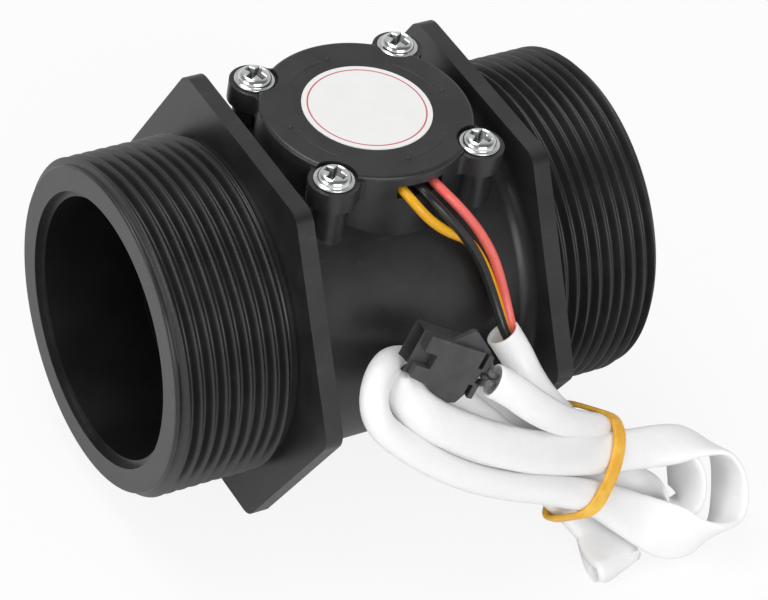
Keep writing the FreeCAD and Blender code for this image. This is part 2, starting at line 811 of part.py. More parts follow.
def hall_sensor():
    """A flat three-lead sensor lying on the pocket's floor, its leads bent up through the board."""
    width, length, thick = (size("sensor_" + word) for word in ("width", "length", "thickness"))
    case = Part.makeBox(width, length, thick, Vector(-width / 2, -length / 2, POCKET_FLOOR))
    top_edges = [
        edge
        for edge in case.Edges
        if near(edge.CenterOfMass.z, POCKET_FLOOR + thick) and near(edge.CenterOfMass.x, 0)
    ]
    solid = case.makeChamfer(thick * 0.3, top_edges)
    rows, reach = sensor_leads()
    lead = size("lead_width")
    level = POCKET_FLOOR + thick / 2 - lead / 2
    for row in rows:
        flat = Part.makeBox(lead, reach + lead / 2, lead, Vector(row - lead / 2, 0, level))
        upright = Part.makeBox(
            lead, lead, BOARD_TOP + lead - level, Vector(row - lead / 2, reach - lead / 2, level)
        )
        solid = solid.fuse(flat).fuse(upright)
    return node(feature("HallSensor", solid.removeSplitter()), "hall_sensor")


def board_parts():
    """The capacitor lying on the board, and the resistor beside it."""
    radius = min(size("capacitor_diameter") / 2, (RESIN_TOP - BOARD_TOP) * 0.4)
    lying = Part.makeCylinder(
        radius,
        size("capacitor_length"),
        Vector(-size("board_length") * 0.42, -size("board_width") / 4, BOARD_TOP + radius),
        Vector(1, 0, 0),
    )
    resistor = Part.makeBox(
        size("resistor_length"),
        size("resistor_width"),
        size("resistor_height"),
        Vector(size("board_length") / 4, size("board_width") / 6, BOARD_TOP),
    )
    return node(feature("BoardParts", Part.makeCompound([lying, resistor])), "board_parts")


def potting_resin(inside):
    """Resin that fills the dry pocket round the board and what it carries."""
    fill = Part.makeCylinder(
        POCKET_RADIUS, RESIN_TOP - POCKET_FLOOR, Vector(0, 0, POCKET_FLOOR)
    )
    for part in inside:
        shape = part.Shape.copy()
        shape.translate(Vector(0, 0, -AXIS_HEIGHT))
        fill = fill.cut(shape)
    return node(feature("PottingResin", fill), "potting_resin")


# Lead: wires, sleeving, band and connector

WIRE_LEVEL = AXIS_HEIGHT + TURRET_TOP + size("wire_diameter") / 2 + size("wire_rise")
RESIN_LEVEL = AXIS_HEIGHT + RESIN_TOP
WIRE_ROUTES = {
    "wire_yellow": [
        (-2.5, -9.0, RESIN_LEVEL - 0.8),
        (-2.5, -10.6, RESIN_LEVEL + 0.5),
        (-2.5, -13.8, WIRE_LEVEL),
        (-2.3, -19.6, WIRE_LEVEL),
        (0.4, -23.2, 63.2),
        (4.2, -25.6, 58.4),
        (7.4, -27.2, 53.0),
        (9.6, -28.4, 48.0),
        (10.9, -30.4, 44.0),
        (11.5, -32.6, 41.7),
    ],
    "wire_black": [
        (0.5, -9.0, RESIN_LEVEL - 0.8),
        (0.5, -10.6, RESIN_LEVEL + 0.5),
        (0.5, -13.8, WIRE_LEVEL),
        (0.8, -19.6, WIRE_LEVEL),
        (3.6, -22.6, 63.2),
        (7.0, -24.8, 59.2),
        (9.8, -26.8, 54.6),
        (11.4, -28.6, 50.0),
        (12.0, -30.6, 46.2),
        (12.4, -33.2, 43.2),
    ],
    "wire_red": [
        (3.4, -9.0, RESIN_LEVEL - 0.8),
        (3.4, -10.6, RESIN_LEVEL + 0.5),
        (3.4, -13.8, WIRE_LEVEL),
        (3.7, -19.6, WIRE_LEVEL),
        (6.7, -22.2, 62.8),
        (10.0, -24.2, 58.2),
        (12.4, -26.2, 53.4),
        (13.6, -28.0, 49.0),
        (13.8, -29.8, 45.4),
        (13.7, -32.2, 42.2),
    ],
}
SLEEVE_LEAD = [
    (12.5, -32.6, 42.2),
    (13.3, -36.0, 40.7),
    (14.4, -39.8, 38.2),
    (17.2, -41.8, 33.6),
    (21.4, -41.0, 28.6),
    (26.2, -38.6, 23.6),
]
SLEEVE_TAIL = [
    (4.0, -43.4, 43.3),
    (6.6, -43.8, 41.5),
    (10.2, -46.0, 38.6),
    (14.8, -47.6, 34.2),
    (19.6, -47.2, 29.2),
    (24.2, -45.0, 24.4),
]


def route_edges(points, label):
    """Straight runs joined by tangent arcs, each as large as its two runs allow."""
    corners = [Vector(*map(float, point)) for point in points]
    edges = []
    radii = []
    start = corners[0]
    for before, corner, after in zip(corners, corners[1:], corners[2:]):
        way_in = (corner - before).normalize()
        way_out = (after - corner).normalize()
        half_turn = way_in.getAngle(way_out) / 2
        tangent = 0.45 * min((corner - before).Length, (after - corner).Length)
        radius = tangent / math.tan(half_turn)
        arc_start = corner - way_in * tangent
        arc_end = corner + way_out * tangent
        inward = (way_out - way_in).normalize()
        middle = corner + inward * (radius / math.cos(half_turn) - radius)
        edges.append(Part.LineSegment(start, arc_start).toShape())
        edges.append(Part.Arc(arc_start, middle, arc_end).toShape())
        radii.append(round(radius, 1))
        start = arc_end
    edges.append(Part.LineSegment(start, corners[-1]).toShape())
    print(label, "arc radii", radii)
    return Part.Wire(edges)


def round_tube(points, diameter, label):
    """A plain round tube along a route, with its volume checked against section times length."""
    path = route_edges(points, label)
    start = Vector(*map(float, points[0]))
    way = Vector(*map(float, points[1])) - start
    ring = Part.Wire([Part.makeCircle(float(diameter) / 2, start, way)])
    solid = path.makePipeShell([ring], True, False)
    share = solid.Volume / (math.pi * (float(diameter) / 2) ** 2 * path.Length)
    print(label, "length", round(path.Length, 1), "volume share", round(share, 3))
    if abs(share - 1) > 0.02:
        raise ValueError(f"{label}: the tube's volume is wrong")
    return solid


def wires():
    made = []
    for label, points in WIRE_ROUTES.items():
        tube = round_tube(points, size("wire_diameter"), label)
        made.append(node(feature(object_name(label), tube), label, lift=False))
    return made


def sleeve(label, points):
    tube = round_tube(points, size("sleeve_diameter"), label)
    return node(feature(object_name(label), tube), label, lift=False)


# The hank leans on the tube at its left end and lies on the floor at its right end

WAIST = Vector(27.0, -42.3, 16.4)
WAIST_WAY = Vector(0.88, -0.09, -0.47)
ROW_WAY = Vector(0.0, -0.64, -0.77)


def oval(centre, way, up, half_up, half_across):
    """An ellipse square to a way, its half_up axis along the part of up that is square to it."""
    normal = Vector(way).normalize()
    long_way = (Vector(up) - normal * Vector(up).dot(normal)).normalize()
    across = normal.cross(long_way)
    flat = Part.Ellipse(
        centre + long_way * float(half_up), centre + across * float(half_across), centre
    )
    return Part.Wire([flat.toShape()])


def lofted(stations):
    """A closed solid through ovals, each given by centre, way, up and its two half widths."""
    rings = []
    for centre, way, up, half_up, half_across in stations:
        rings.append(oval(Vector(*centre), Vector(*way), Vector(*up), half_up, half_across))
    return Part.makeLoft(rings, True)


def sleeve_hank():
    """The outer shape of the tied turns: a leaning lobe, a tied waist, a flat lobe and a fold."""
    waist = (
        WAIST,
        WAIST_WAY,
        ROW_WAY,
        size("hank_waist_height") / 2,
        size("hank_waist_depth") / 2,
    )
    row = ROW_WAY
    flat = (0.0, -1.0, 0.0)
    turns = lofted(
        [
            ((-15.0, -36.4, 35.2), WAIST_WAY, row, 4.6, 2.6),
            ((-12.0, -37.0, 34.0), WAIST_WAY, row, 8.0, 4.0),
            ((-4.0, -39.7, 29.9), WAIST_WAY, row, 9.6, 4.4),
            ((8.0, -41.5, 24.9), WAIST_WAY, row, 10.2, 5.0),
            ((19.0, -42.2, 20.0), WAIST_WAY, row, 9.8, 5.8),
            waist,
            ((37.0, -43.4, 11.2), (0.92, -0.08, -0.36), (0.0, -0.86, -0.5), 10.6, 6.2),
            ((46.0, -44.2, 7.4), (0.97, -0.08, -0.2), (0.0, -1.0, -0.1), 12.0, 5.2),
            ((55.0, -44.6, 4.9), (1.0, 0.0, -0.08), flat, 11.2, 4.2),
            ((62.4, -45.0, 4.1), (1.0, 0.0, -0.02), flat, 6.6, 3.6),
            ((64.6, -45.0, 4.0), (1.0, 0.0, 0.0), flat, 3.4, 2.4),
        ]
    )
    folded = lofted(
        [
            ((28.5, -45.0, 8.8), (0.05, -0.95, -0.3), (1.0, 0.0, 0.0), 5.4, 3.6),
            ((29.0, -52.0, 5.4), (0.05, -0.95, -0.25), (1.0, 0.0, 0.0), 7.0, 3.6),
            ((29.4, -59.0, 3.9), (0.05, -1.0, -0.05), (1.0, 0.0, 0.0), 7.0, 3.4),
            ((29.5, -62.4, 3.7), (0.0, -1.0, 0.0), (1.0, 0.0, 0.0), 4.4, 2.4),
        ]
    )
    hank = turns.fuse(folded)
    return node(feature("SleeveHank", hank), "sleeve_hank", lift=False)


def rubber_band():
    """A flat loop pulled round the hank's waist."""
    thick = size("band_thickness")
    up = size("hank_waist_height") / 2 + size("band_clearance")
    across = size("hank_waist_depth") / 2 + size("band_clearance")
    way = Vector(WAIST_WAY).normalize()
    start = WAIST - way * float(size("band_width") / 2)
    outer = Part.Face(oval(start, way, ROW_WAY, up + thick, across + thick))
    inner = Part.Face(oval(start, way, ROW_WAY, up, across))
    run = way * float(size("band_width"))
    loop = outer.extrude(run).cut(inner.extrude(run))
    return node(feature("RubberBand", loop), "rubber_band", lift=False)


# The connector lies against the hank: X towards its wires, Y across its ways, Z to its back

CONNECTOR_CENTRE = Vector(-3.1, -38.2, 46.2)
CONNECTOR_X = Vector(0.872, -0.287, -0.401).normalize()
CONNECTOR_Y = Vector(-0.441, -0.091, -0.893).normalize()
CONNECTOR_PLACE = Placement(
    CONNECTOR_CENTRE, Rotation(CONNECTOR_X, CONNECTOR_Y, CONNECTOR_X.cross(CONNECTOR_Y), "XYZ")
)
HOUSING_HALF = size("connector_length") / 2


def connector_ways():
    pitch = size("connector_pitch")
    return [-pitch, pitch * 0, pitch]


def connector_housing():
    """Three-way housing with its key notch, two retainer windows and a rib on each side."""
    body = new_body("ConnectorHousing")
    half_width = size("connector_width") / 2
    half_height = size("connector_height") / 2
    block = sketch(body, "BlockOutline", "XY_Plane", -half_height)
    box_outline(block, (-HOUSING_HALF, -half_width), (HOUSING_HALF, half_width))
    pad(body, "Block", block, size("connector_height"))

    rib = sketch(body, "LowerRibOutline", "XY_Plane", -half_height / 3)
    rib_start = -HOUSING_HALF + 2.4
    box_outline(
        rib,
        (rib_start, half_width - 0.5),
        (rib_start + size("rib_length"), half_width + size("rib_rise")),
    )
    pad(body, "LowerRib", rib, half_height * (4 / 3))
    rail = sketch(body, "UpperRailOutline", "XY_Plane", 0 * half_height)
    box_outline(
        rail,
        (rib_start, -half_width - size("rib_rise")),
        (HOUSING_HALF, -half_width + 0.5),
    )
    pad(body, "UpperRail", rail, half_height)

    length = size("connector_length")
    finish_edges(
        body,
        "Fillet",
        "LongEdges",
        size("connector_corner"),
        lambda edge: near(edge.BoundBox.XLength, length),
    )

    way_half = size("way_width") / 2
    for index, way in enumerate(connector_ways()):
        outline_of_way = sketch(body, f"WayOutline{index}", "YZ_Plane", -HOUSING_HALF)
        box_outline(outline_of_way, (way - way_half, -way_half), (way + way_half, way_half))
        pocket(body, f"Way{index}", outline_of_way, size("way_depth"), True)

    key_half = size("key_width") / 2
    key = sketch(body, "KeyOutline", "XY_Plane", -half_height)
    box_outline(
        key, (-HOUSING_HALF - 1, -key_half), (-HOUSING_HALF + size("key_length"), key_half)
    )
    pocket(body, "KeyNotch", key, size("window_depth"), True)

    window_end = HOUSING_HALF - size("window_length") * 0.8
    for index, side in enumerate((-1, 1)):
        window = sketch(body, f"WindowOutline{index}", "XY_Plane", -half_height)
        inner = (half_width - size("window_width") - 0.4) * side
        outer = (half_width - 0.4) * side
        box_outline(
            window,
            (window_end - size("window_length"), min(inner, outer)),
            (window_end, max(inner, outer)),
        )
        pocket(body, f"Window{index}", window, size("window_depth"), True)
    body.Placement = CONNECTOR_PLACE
    return node(body, "connector_housing", lift=False)


def connector_pin(number, way):
    """A square contact pin that stands on the floor of its way."""
    width = size("pin_width")
    length = size("way_depth") - 1.4
    foot = -HOUSING_HALF + size("way_depth")
    pin = Part.makeBox(length, width, width, Vector(foot - length, way - width / 2, -width / 2))
    pin.Placement = CONNECTOR_PLACE
    label = f"connector_pin_{number}"
    return node(feature(object_name(label), pin), label, lift=False)


def connector_wire(number, way):
    """A short wire from the housing's back to the end of the sleeving."""
    mouth = Vector(*SLEEVE_TAIL[0])
    into = (Vector(*SLEEVE_TAIL[1]) - mouth).normalize()
    turn = CONNECTOR_PLACE.Rotation
    start = CONNECTOR_PLACE.multVec(Vector(HOUSING_HALF, way, 0))
    angle = math.radians(120 * (number - 1))
    side = turn.multVec(Vector(0, -math.cos(angle), math.sin(angle)))
    side = side - into * side.dot(into)
    end = mouth + side.normalize() * float(size("tail_diameter") * 0.62)
    run = turn.multVec(Vector(1.2, 0, 0))
    label = f"connector_wire_{number}"
    tube = round_tube([start, start + run, end - into * 1.2, end], size("tail_diameter"), label)
    return node(feature(object_name(label), tube), label, lift=False)


def build():
    pipe_body()
    cover()
    label_disc()
    for number in (1, 2, 3, 4):
        cover_screw(number)
    for end in ("inlet", "outlet"):
        support(f"{end}_support", end == "inlet")
        retaining_ring(f"{end}_retaining_ring", end == "inlet")
        bush(f"{end}_bush", end == "inlet")
        thrust_washer(f"{end}_thrust_washer", end == "inlet")
    rotor()
    rotor_shaft()
    for number in range(1, int(size("magnet_count")) + 1):
        rotor_magnet(number)
    doc.recompute()
    electronics = [hall_board(), hall_sensor(), board_parts()]
    doc.recompute()
    potting_resin(electronics)
    wires()
    sleeve("sleeve_lead", SLEEVE_LEAD)
    sleeve("sleeve_tail", SLEEVE_TAIL)
    sleeve_hank()
    rubber_band()
    connector_housing()
    for number, way in enumerate(connector_ways(), start=1):
        connector_pin(number, way)
        connector_wire(number, way)
    doc.recompute()


def check():
    """Stop on any feature that failed, and on any piece that is not a sound solid."""
    for item in doc.Objects:
        if "Invalid" in item.State or "Error" in item.State:
            raise ValueError(f"{item.Name} could not be built: {item.State}")
    for item in nodes:
        shape = item.Shape
        if shape.isNull() or not shape.isValid() or not shape.Solids:
            raise ValueError(f"{item.Label} is not a sound solid")


def write():
    for item in nodes:
        item.Shape.exportStep(f"parts/{item.Label}.step")


build()
check()
write()
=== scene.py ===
"""Turbine flow meter with its signal lead: looks, light and camera.

Sizes are in millimetres, unless a line says metres. The pipe runs along X and the lead comes out at the front, on -Y.
"""

import math
from contextlib import contextmanager

import bmesh
import bpy
import numpy as np
from mathutils import Matrix, Vector


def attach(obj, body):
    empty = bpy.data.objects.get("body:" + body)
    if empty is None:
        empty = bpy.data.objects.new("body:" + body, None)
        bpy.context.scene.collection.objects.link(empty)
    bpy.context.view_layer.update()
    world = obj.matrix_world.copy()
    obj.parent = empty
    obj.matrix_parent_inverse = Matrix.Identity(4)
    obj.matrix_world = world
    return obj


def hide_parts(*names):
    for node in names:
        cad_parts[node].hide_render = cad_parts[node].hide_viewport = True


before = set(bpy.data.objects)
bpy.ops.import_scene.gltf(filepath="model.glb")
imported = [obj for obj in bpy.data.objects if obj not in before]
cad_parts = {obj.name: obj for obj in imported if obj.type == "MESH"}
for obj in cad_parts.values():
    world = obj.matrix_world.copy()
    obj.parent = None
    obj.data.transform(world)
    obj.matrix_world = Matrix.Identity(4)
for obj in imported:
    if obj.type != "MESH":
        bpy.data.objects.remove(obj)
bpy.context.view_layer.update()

MM = 0.001
AXIS_HIGH = 34.3  # the pipe's axis, above the table
END = 47.35  # the end faces, each way from the middle
FLANGE_FACE = 24.35  # the flanges' outer faces, each way from the middle
COVER_TOP = 69.7
EAR_TOP = 68.8  # the cover's ears, under the screw heads
SCREW_AT = 14.05  # each way from the cover's middle
SCREW_ACROSS = 7.1
SCREW_HIGH = 2.0
WIRE_ACROSS = 1.75

scene = bpy.context.scene
scene.view_settings.view_transform = "Standard"

# ---------------------------------------------------------------- camera

EYE = Vector((-0.2860, -0.4050, 0.4519))  # metres
VIEW_RIGHT = Vector((0.862, -0.488, 0.136))
VIEW_AHEAD = Vector((0.449, 0.613, -0.649))
LENS = 173.91
SENSOR = 36.0


def set_camera():
    """The photograph's view, with a long lens from the front left and above."""
    ahead = VIEW_AHEAD.normalized()
    right = (VIEW_RIGHT - ahead * VIEW_RIGHT.dot(ahead)).normalized()
    up = right.cross(ahead)
    lens = bpy.data.cameras.new("camera")
    lens.sensor_width, lens.lens = SENSOR, LENS
    lens.clip_start, lens.clip_end = 0.01, 20.0
    camera = bpy.data.objects.new("camera", lens)
    scene.collection.objects.link(camera)
    camera.matrix_world = Matrix([[right[i], up[i], -ahead[i], EYE[i]] for i in range(3)] + [[0, 0, 0, 1]])
    scene.camera = camera


set_camera()

# ---------------------------------------------------------------- routes of the wires and the sleeving

WIRE_YELLOW = [
    (-2.5, -9, 63.9), (-2.5, -10.6, 65.2), (-2.5, -13.8, 66.08), (-2.3, -19.6, 66.08), (0.2, -22.7, 63.0),
    (3.8, -23.7, 60.0), (8.0, -24.0, 57.5), (10.7, -25.6, 53.3), (12.3, -27.6, 48.8), (13.1, -30.0, 44.8),
    (13.2, -33.0, 41.9), (13.4, -36.4, 39.9),
]
WIRE_BLACK = [
    (0.5, -9, 63.9), (0.5, -10.6, 65.2), (0.5, -13.8, 66.08), (0.8, -19.6, 66.08), (3.4, -22.9, 63.2),
    (6.7, -24.7, 59.2), (9.3, -26.6, 54.7), (10.9, -28.6, 50.0), (11.8, -31.0, 46.0), (12.2, -33.8, 42.9),
    (12.8, -36.9, 41.2),
]
WIRE_RED = [
    (3.4, -9, 63.9), (3.4, -10.6, 65.2), (3.4, -13.8, 66.08), (3.9, -19.6, 66.08), (7.0, -22.3, 62.8),
    (10.3, -24.2, 58.3), (12.7, -26.0, 53.6), (13.9, -28.0, 49.0), (14.4, -30.2, 45.1), (14.3, -33.0, 42.2),
    (14.3, -36.2, 40.2),
]

# Each row: a point of the sleeving's line, the way its flat side faces, its width and its thickness.
SLEEVE = [
    # first mouth, down to the tie
    (12.5, -32.6, 42.2, 0.9, 0.1, 0.4, 6.0, 6.0),
    (13.2, -36.0, 40.6, 0.8, -0.2, 0.5, 6.0, 6.0),
    (14.5, -39.0, 37.2, 0.6, -0.6, 0.5, 6.2, 5.4),
    (17.2, -40.4, 32.4, 0.4, -0.7, 0.5, 6.6, 4.8),
    (21.2, -39.6, 27.0, 0.3, -0.7, 0.6, 6.8, 4.4),
    (25.2, -37.6, 22.2, 0.25, -0.74, 0.62, 6.8, 4.2),
    # through the tie at the back, round to the pressed fold that lies on the table
    (29.2, -35.6, 17.0, 0.3, -0.7, 0.6, 6.8, 4.0),
    (33.6, -34.6, 10.6, 0.5, -0.5, 0.6, 7.0, 3.8),
    (35.8, -37.0, 4.6, 0.4, -0.2, 0.9, 7.4, 3.2),
    (34.2, -42.2, 2.2, 0.1, 0, 1, 8.8, 2.6),
    (31.6, -47.4, 1.4, 0, 0, 1, 9.6, 2.2),
    (30.4, -51.6, 1.25, 0, 0, 1, 10.2, 2.1),
    (29.7, -54.4, 1.2, 0, 0, 1, 10.4, 2.1),
    (29.5, -56.7, 1.3, 0, 0.6, 0.8, 10.2, 2.2),
    (29.5, -56.7, 2.4, 0, 0.6, -0.8, 10.2, 2.2),
    (29.6, -54.0, 2.65, 0, 0, -1, 10.4, 2.1),
    (29.8, -50.8, 3.2, 0, 0, -1, 10.4, 2.0),
    (29.0, -46.8, 4.6, 0, 0.3, -0.9, 9.4, 2.4),
    # back up through the tie, along the far side
    (24.0, -44.2, 9.6, -0.2, 0.7, -0.6, 7.4, 3.8),
    (19.4, -42.6, 14.6, -0.25, 0.74, -0.62, 7.2, 4.0),
    (13.8, -40.6, 21.4, -0.25, 0.74, -0.62, 7.0, 4.2),
    (7.4, -39.0, 28.2, -0.25, 0.74, -0.62, 7.0, 4.2),
    (1.8, -37.6, 34.0, -0.25, 0.74, -0.62, 7.0, 3.8),
    (-3.0, -35.6, 38.0, -0.2, 0.85, -0.3, 7.0, 3.2),
    # inner fold at the left, and the broad middle run
    (-6.6, -33.9, 41.4, -0.3, 0.85, 0.3, 7.0, 3.0),
    (-9.9, -36.4, 42.4, -0.5, 0.1, 0.8, 7.0, 3.4),
    (-10.4, -39.9, 40.8, -0.3, -0.6, 0.7, 7.2, 4.0),
    (-6.9, -42.5, 37.4, 0.1, -0.74, 0.62, 7.6, 4.4),
    (-1.0, -43.8, 33.6, 0.25, -0.74, 0.62, 7.6, 4.4),
    (5.4, -44.6, 29.4, 0.25, -0.74, 0.62, 7.6, 4.4),
    (12.6, -45.0, 25.4, 0.25, -0.74, 0.62, 7.6, 4.2),
    (20.0, -45.0, 22.2, 0.25, -0.74, 0.62, 7.6, 4.2),
    # through the tie, and round the outer loop at the right
    (27.8, -44.8, 19.2, 0.25, -0.74, 0.62, 7.4, 4.0),
    (35.4, -44.8, 17.6, 0.25, -0.74, 0.62, 7.2, 3.8),
    (42.4, -45.2, 16.6, 0.25, -0.6, 0.75, 7.6, 3.0),
    (49.2, -46.2, 16.4, 0.25, 0.2, 0.95, 8.4, 1.9),
    (54.8, -49.2, 13.8, 0.75, 0.25, 0.2, 9.0, 1.4),
    (52.6, -56.5, 5.6, 0.6, -0.3, -0.9, 9.0, 1.4),
    (46.0, -58.7, 5.0, -0.1, -0.90, -0.45, 9.4, 1.9),
    (40.5, -55.7, 5.2, 0.15, -0.85, 0.4, 10.2, 2.4),
    (34.4, -51.0, 7.6, 0.25, -0.74, 0.62, 8.8, 3.6),
    # through the tie, and the narrow lower run
    (26.0, -49.2, 13.8, 0.25, -0.74, 0.62, 6.0, 4.6),
    (17.6, -48.2, 17.4, 0.25, -0.74, 0.62, 5.4, 5.2),
    (9.2, -47.6, 20.6, 0.25, -0.74, 0.62, 5.2, 5.4),
    (1.0, -46.8, 24.8, 0.25, -0.74, 0.62, 5.2, 5.4),
    (-6.6, -45.6, 30.0, 0.2, -0.78, 0.6, 5.2, 5.4),
    (-13.0, -44.0, 35.4, 0.0, -0.85, 0.5, 5.2, 5.4),
    (-17.2, -42.4, 39.8, -0.3, -0.85, 0.4, 5.0, 5.4),
    (-17.4, -39.8, 44.0, -0.5, -0.6, 0.5, 4.8, 5.4),
    # outer turn at the left, and back along the far side
    (-13.0, -35.4, 45.4, -0.4, -0.4, 0.8, 5.0, 4.6),
    (-7.0, -31.6, 41.6, 0.3, -0.3, 0.8, 5.6, 3.6),
    (0.2, -31.6, 37.0, 0.4, -0.6, 0.6, 6.4, 3.8),
    (7.4, -32.8, 31.4, 0.3, -0.74, 0.62, 6.8, 4.2),
    (14.2, -35.2, 25.0, 0.25, -0.74, 0.62, 6.8, 4.2),
    (20.6, -37.8, 19.2, 0.25, -0.74, 0.62, 7.0, 4.0),
    # through the tie, and round the inner loop at the right
    (26.6, -39.6, 14.0, 0.25, -0.74, 0.62, 7.0, 4.0),
    (32.4, -41.2, 10.4, 0.25, -0.74, 0.62, 7.2, 3.8),
    (38.0, -44.2, 7.4, 0.2, -0.8, 0.4, 8.0, 2.8),
    (43.0, -48.0, 5.2, 0.2, -0.8, -0.4, 9.4, 1.9),
    (46.6, -51.2, 5.6, 0.8, -0.35, -0.7, 10.6, 1.4),
    (47.9, -46.6, 13.2, 0.75, 0.3, 0.2, 10.6, 1.4),
    (42.0, -42.2, 13.8, 0.25, 0.3, 0.9, 9.0, 2.0),
    (36.0, -40.8, 15.0, 0.25, -0.5, 0.8, 6.0, 3.8),
    # through the tie, up to the second mouth
    (31.2, -40.8, 21.4, 0.25, -0.74, 0.62, 4.4, 4.8),
    (25.6, -42.8, 25.6, 0.25, -0.74, 0.62, 4.4, 5.2),
    (20.4, -44.8, 29.4, 0.2, -0.8, 0.5, 5.2, 5.2),
    (15.0, -46.0, 34.2, 0.1, -0.85, 0.4, 5.8, 5.6),
    (10.4, -46.0, 38.4, 0, -0.9, 0.3, 6.0, 6.0),
    (6.8, -44.8, 41.8, 0, -0.9, 0.3, 6.0, 6.0),
    (4.0, -43.4, 43.3, 0, -0.9, 0.3, 6.0, 6.0),
]

# ---------------------------------------------------------------- expressions and nodes


class Signal:
    """What a node gives, used in an expression as a number is."""

    def __init__(self, maker, socket):
        self.maker, self.socket = maker, socket

    def math(self, operation, *terms):
        """A maths node on these terms."""
        return self.maker.node("ShaderNodeMath", {"operation": operation}, dict(enumerate(terms)))

    def __add__(self, other):
        return self.math("ADD", self, other)

    def __sub__(self, other):
        return self.math("SUBTRACT", self, other)

    def __rsub__(self, other):
        return self.math("SUBTRACT", other, self)

    def __mul__(self, other):
        return self.math("MULTIPLY", self, other)

    def __truediv__(self, other):
        return self.math("DIVIDE", self, other)

    def __pow__(self, other):
        return self.math("POWER", self, other)

    __radd__, __rmul__ = __add__, __mul__

    def of(self, operation, *others):
        """A function of this value, such as its size, sine or whole part."""
        return self.math(operation, self, *others)

    def rise(self, low, high):
        """0 below low, 1 above high, and smooth between."""
        values = {"Value": self, "From Min": low, "From Max": high}
        return self.maker.node("ShaderNodeMapRange", {"interpolation_type": "SMOOTHSTEP"}, values)

    def parts(self):
        """The x, y and z of a vector."""
        return [self.maker.node("ShaderNodeSeparateXYZ", {}, {0: self}, out) for out in range(3)]


class Nodes:
    """A node tree, and the one method that makes its nodes."""

    def __init__(self, tree):
        self.tree = tree

    def node(self, kind, settings=None, values=None, out=0):
        """A new node with its settings, then its values or links. Gives one of its outputs, if it has any."""
        made = self.tree.nodes.new(kind)
        for name, value in (settings or {}).items():
            setattr(made, name, value)
        for key, value in (values or {}).items():
            if isinstance(value, Signal):
                self.tree.links.new(value.socket, made.inputs[key])
            else:
                made.inputs[key].default_value = value
        return Signal(self, made.outputs[out]) if made.outputs else made


class Finish(Nodes):
    """A material on the object's own coordinates, in metres."""

    def __init__(self, name):
        self.material = bpy.data.materials.new(name)
        self.material.use_nodes = True
        super().__init__(self.material.node_tree)
        self.tree.nodes.clear()
        self.place = self.node("ShaderNodeTexCoord", out="Object")

    def grain(self, size, detail=2.0, roughness=0.5, stretch=None):
        """Noise whose lumps are about size millimetres, from 0 to 1."""
        at = self.place
        if stretch:
            at = self.node("ShaderNodeMapping", {}, {"Vector": at, "Scale": stretch})
        values = {"Vector": at, "Scale": 1000 / size, "Detail": detail, "Roughness": roughness}
        return self.node("ShaderNodeTexNoise", {}, values)

    def blend(self, share, *colours):
        """A colour between two others."""
        first, second = (colour if isinstance(colour, Signal) else (*colour, 1) for colour in colours)
        return self.node("ShaderNodeMix", {"data_type": "RGBA"}, {0: share, 6: first, 7: second}, 2)

    def relief(self, height, depth):
        """A bump as deep as depth millimetres where height goes from 0 to 1."""
        return self.node("ShaderNodeBump", {}, {"Height": height, "Distance": depth * MM, "Strength": 1.0})

    def surface(self, **values):
        """The finished material, from the shader inputs that are given by name."""
        named = {key.replace("_", " ").title(): value for key, value in values.items()}
        shader = self.node("ShaderNodeBsdfPrincipled", {}, named)
        self.node("ShaderNodeOutputMaterial", {}, {"Surface": shader})
        return self.material


# ---------------------------------------------------------------- finishes


def moulded(name, dark, light, shine, grain_size=0.35, grain_depth=0.02, mottle=9.0):
    """Injection-moulded plastic: a fine spark-eroded grain, slow mottling and a few rubbed places."""
    f = Finish(name)
    slow = f.grain(mottle, 3.0, 0.6)
    fine = f.grain(grain_size, 2.0, 0.6)
    rubbed = f.grain(2.6, 5.0, 0.7).rise(0.60, 0.74)
    colour = f.blend(slow.rise(0.3, 0.7), dark, light)
    colour = f.blend(rubbed * 0.22, colour, tuple(min(1.0, c * 2.4 + 0.02) for c in light))
    rough = shine + (fine - 0.5) * 0.16 + (slow - 0.5) * 0.10 + rubbed * 0.06
    return f.surface(base_color=colour, roughness=rough, normal=f.relief(fine + slow * 2.0, grain_depth))


def moulded_body():
    """The meter's black nylon. Its end faces are a lighter grey and rougher than the rest, and its bore is darkened
    with painted shade.
    """
    f = Finish("black_nylon_moulding")
    x, y, z = f.place.parts()
    along = x.of("ABSOLUTE")
    slow = f.grain(11.0, 3.0, 0.6)
    fine = f.grain(0.32, 2.0, 0.6)
    end_face = along.rise((END - 0.15) * MM, (END - 0.05) * MM)
    colour = f.blend(slow.rise(0.3, 0.7), (0.0125, 0.0125, 0.0135), (0.0215, 0.0215, 0.0230))
    colour = f.blend(end_face * (0.75 + fine * 0.3), colour, (0.080, 0.080, 0.084))
    flow = f.grain(1.6, 4.0, 0.65, stretch=(0.25, 1.0, 1.0)).rise(0.58, 0.72)
    colour = f.blend(flow * 0.25, colour, (0.045, 0.045, 0.048))
    up = z - AXIS_HIGH * MM
    off_axis = (y * y + up * up).of("SQRT")
    # painted shade: the bore's wall is coloured darker, except close to each end face
    bore_shade = (1 - off_axis.rise(23.3 * MM, 23.5 * MM)) * (1 - along.rise((END - 0.95) * MM, (END - 0.35) * MM))
    colour = f.blend(bore_shade * 0.7, colour, (0.0035, 0.0035, 0.0038))
    rough = 0.36 + (fine - 0.5) * 0.14 + (slow - 0.5) * 0.12 + end_face * 0.26 + flow * 0.05
    return f.surface(base_color=colour, roughness=rough, normal=f.relief(fine + slow * 2.5, 0.016))


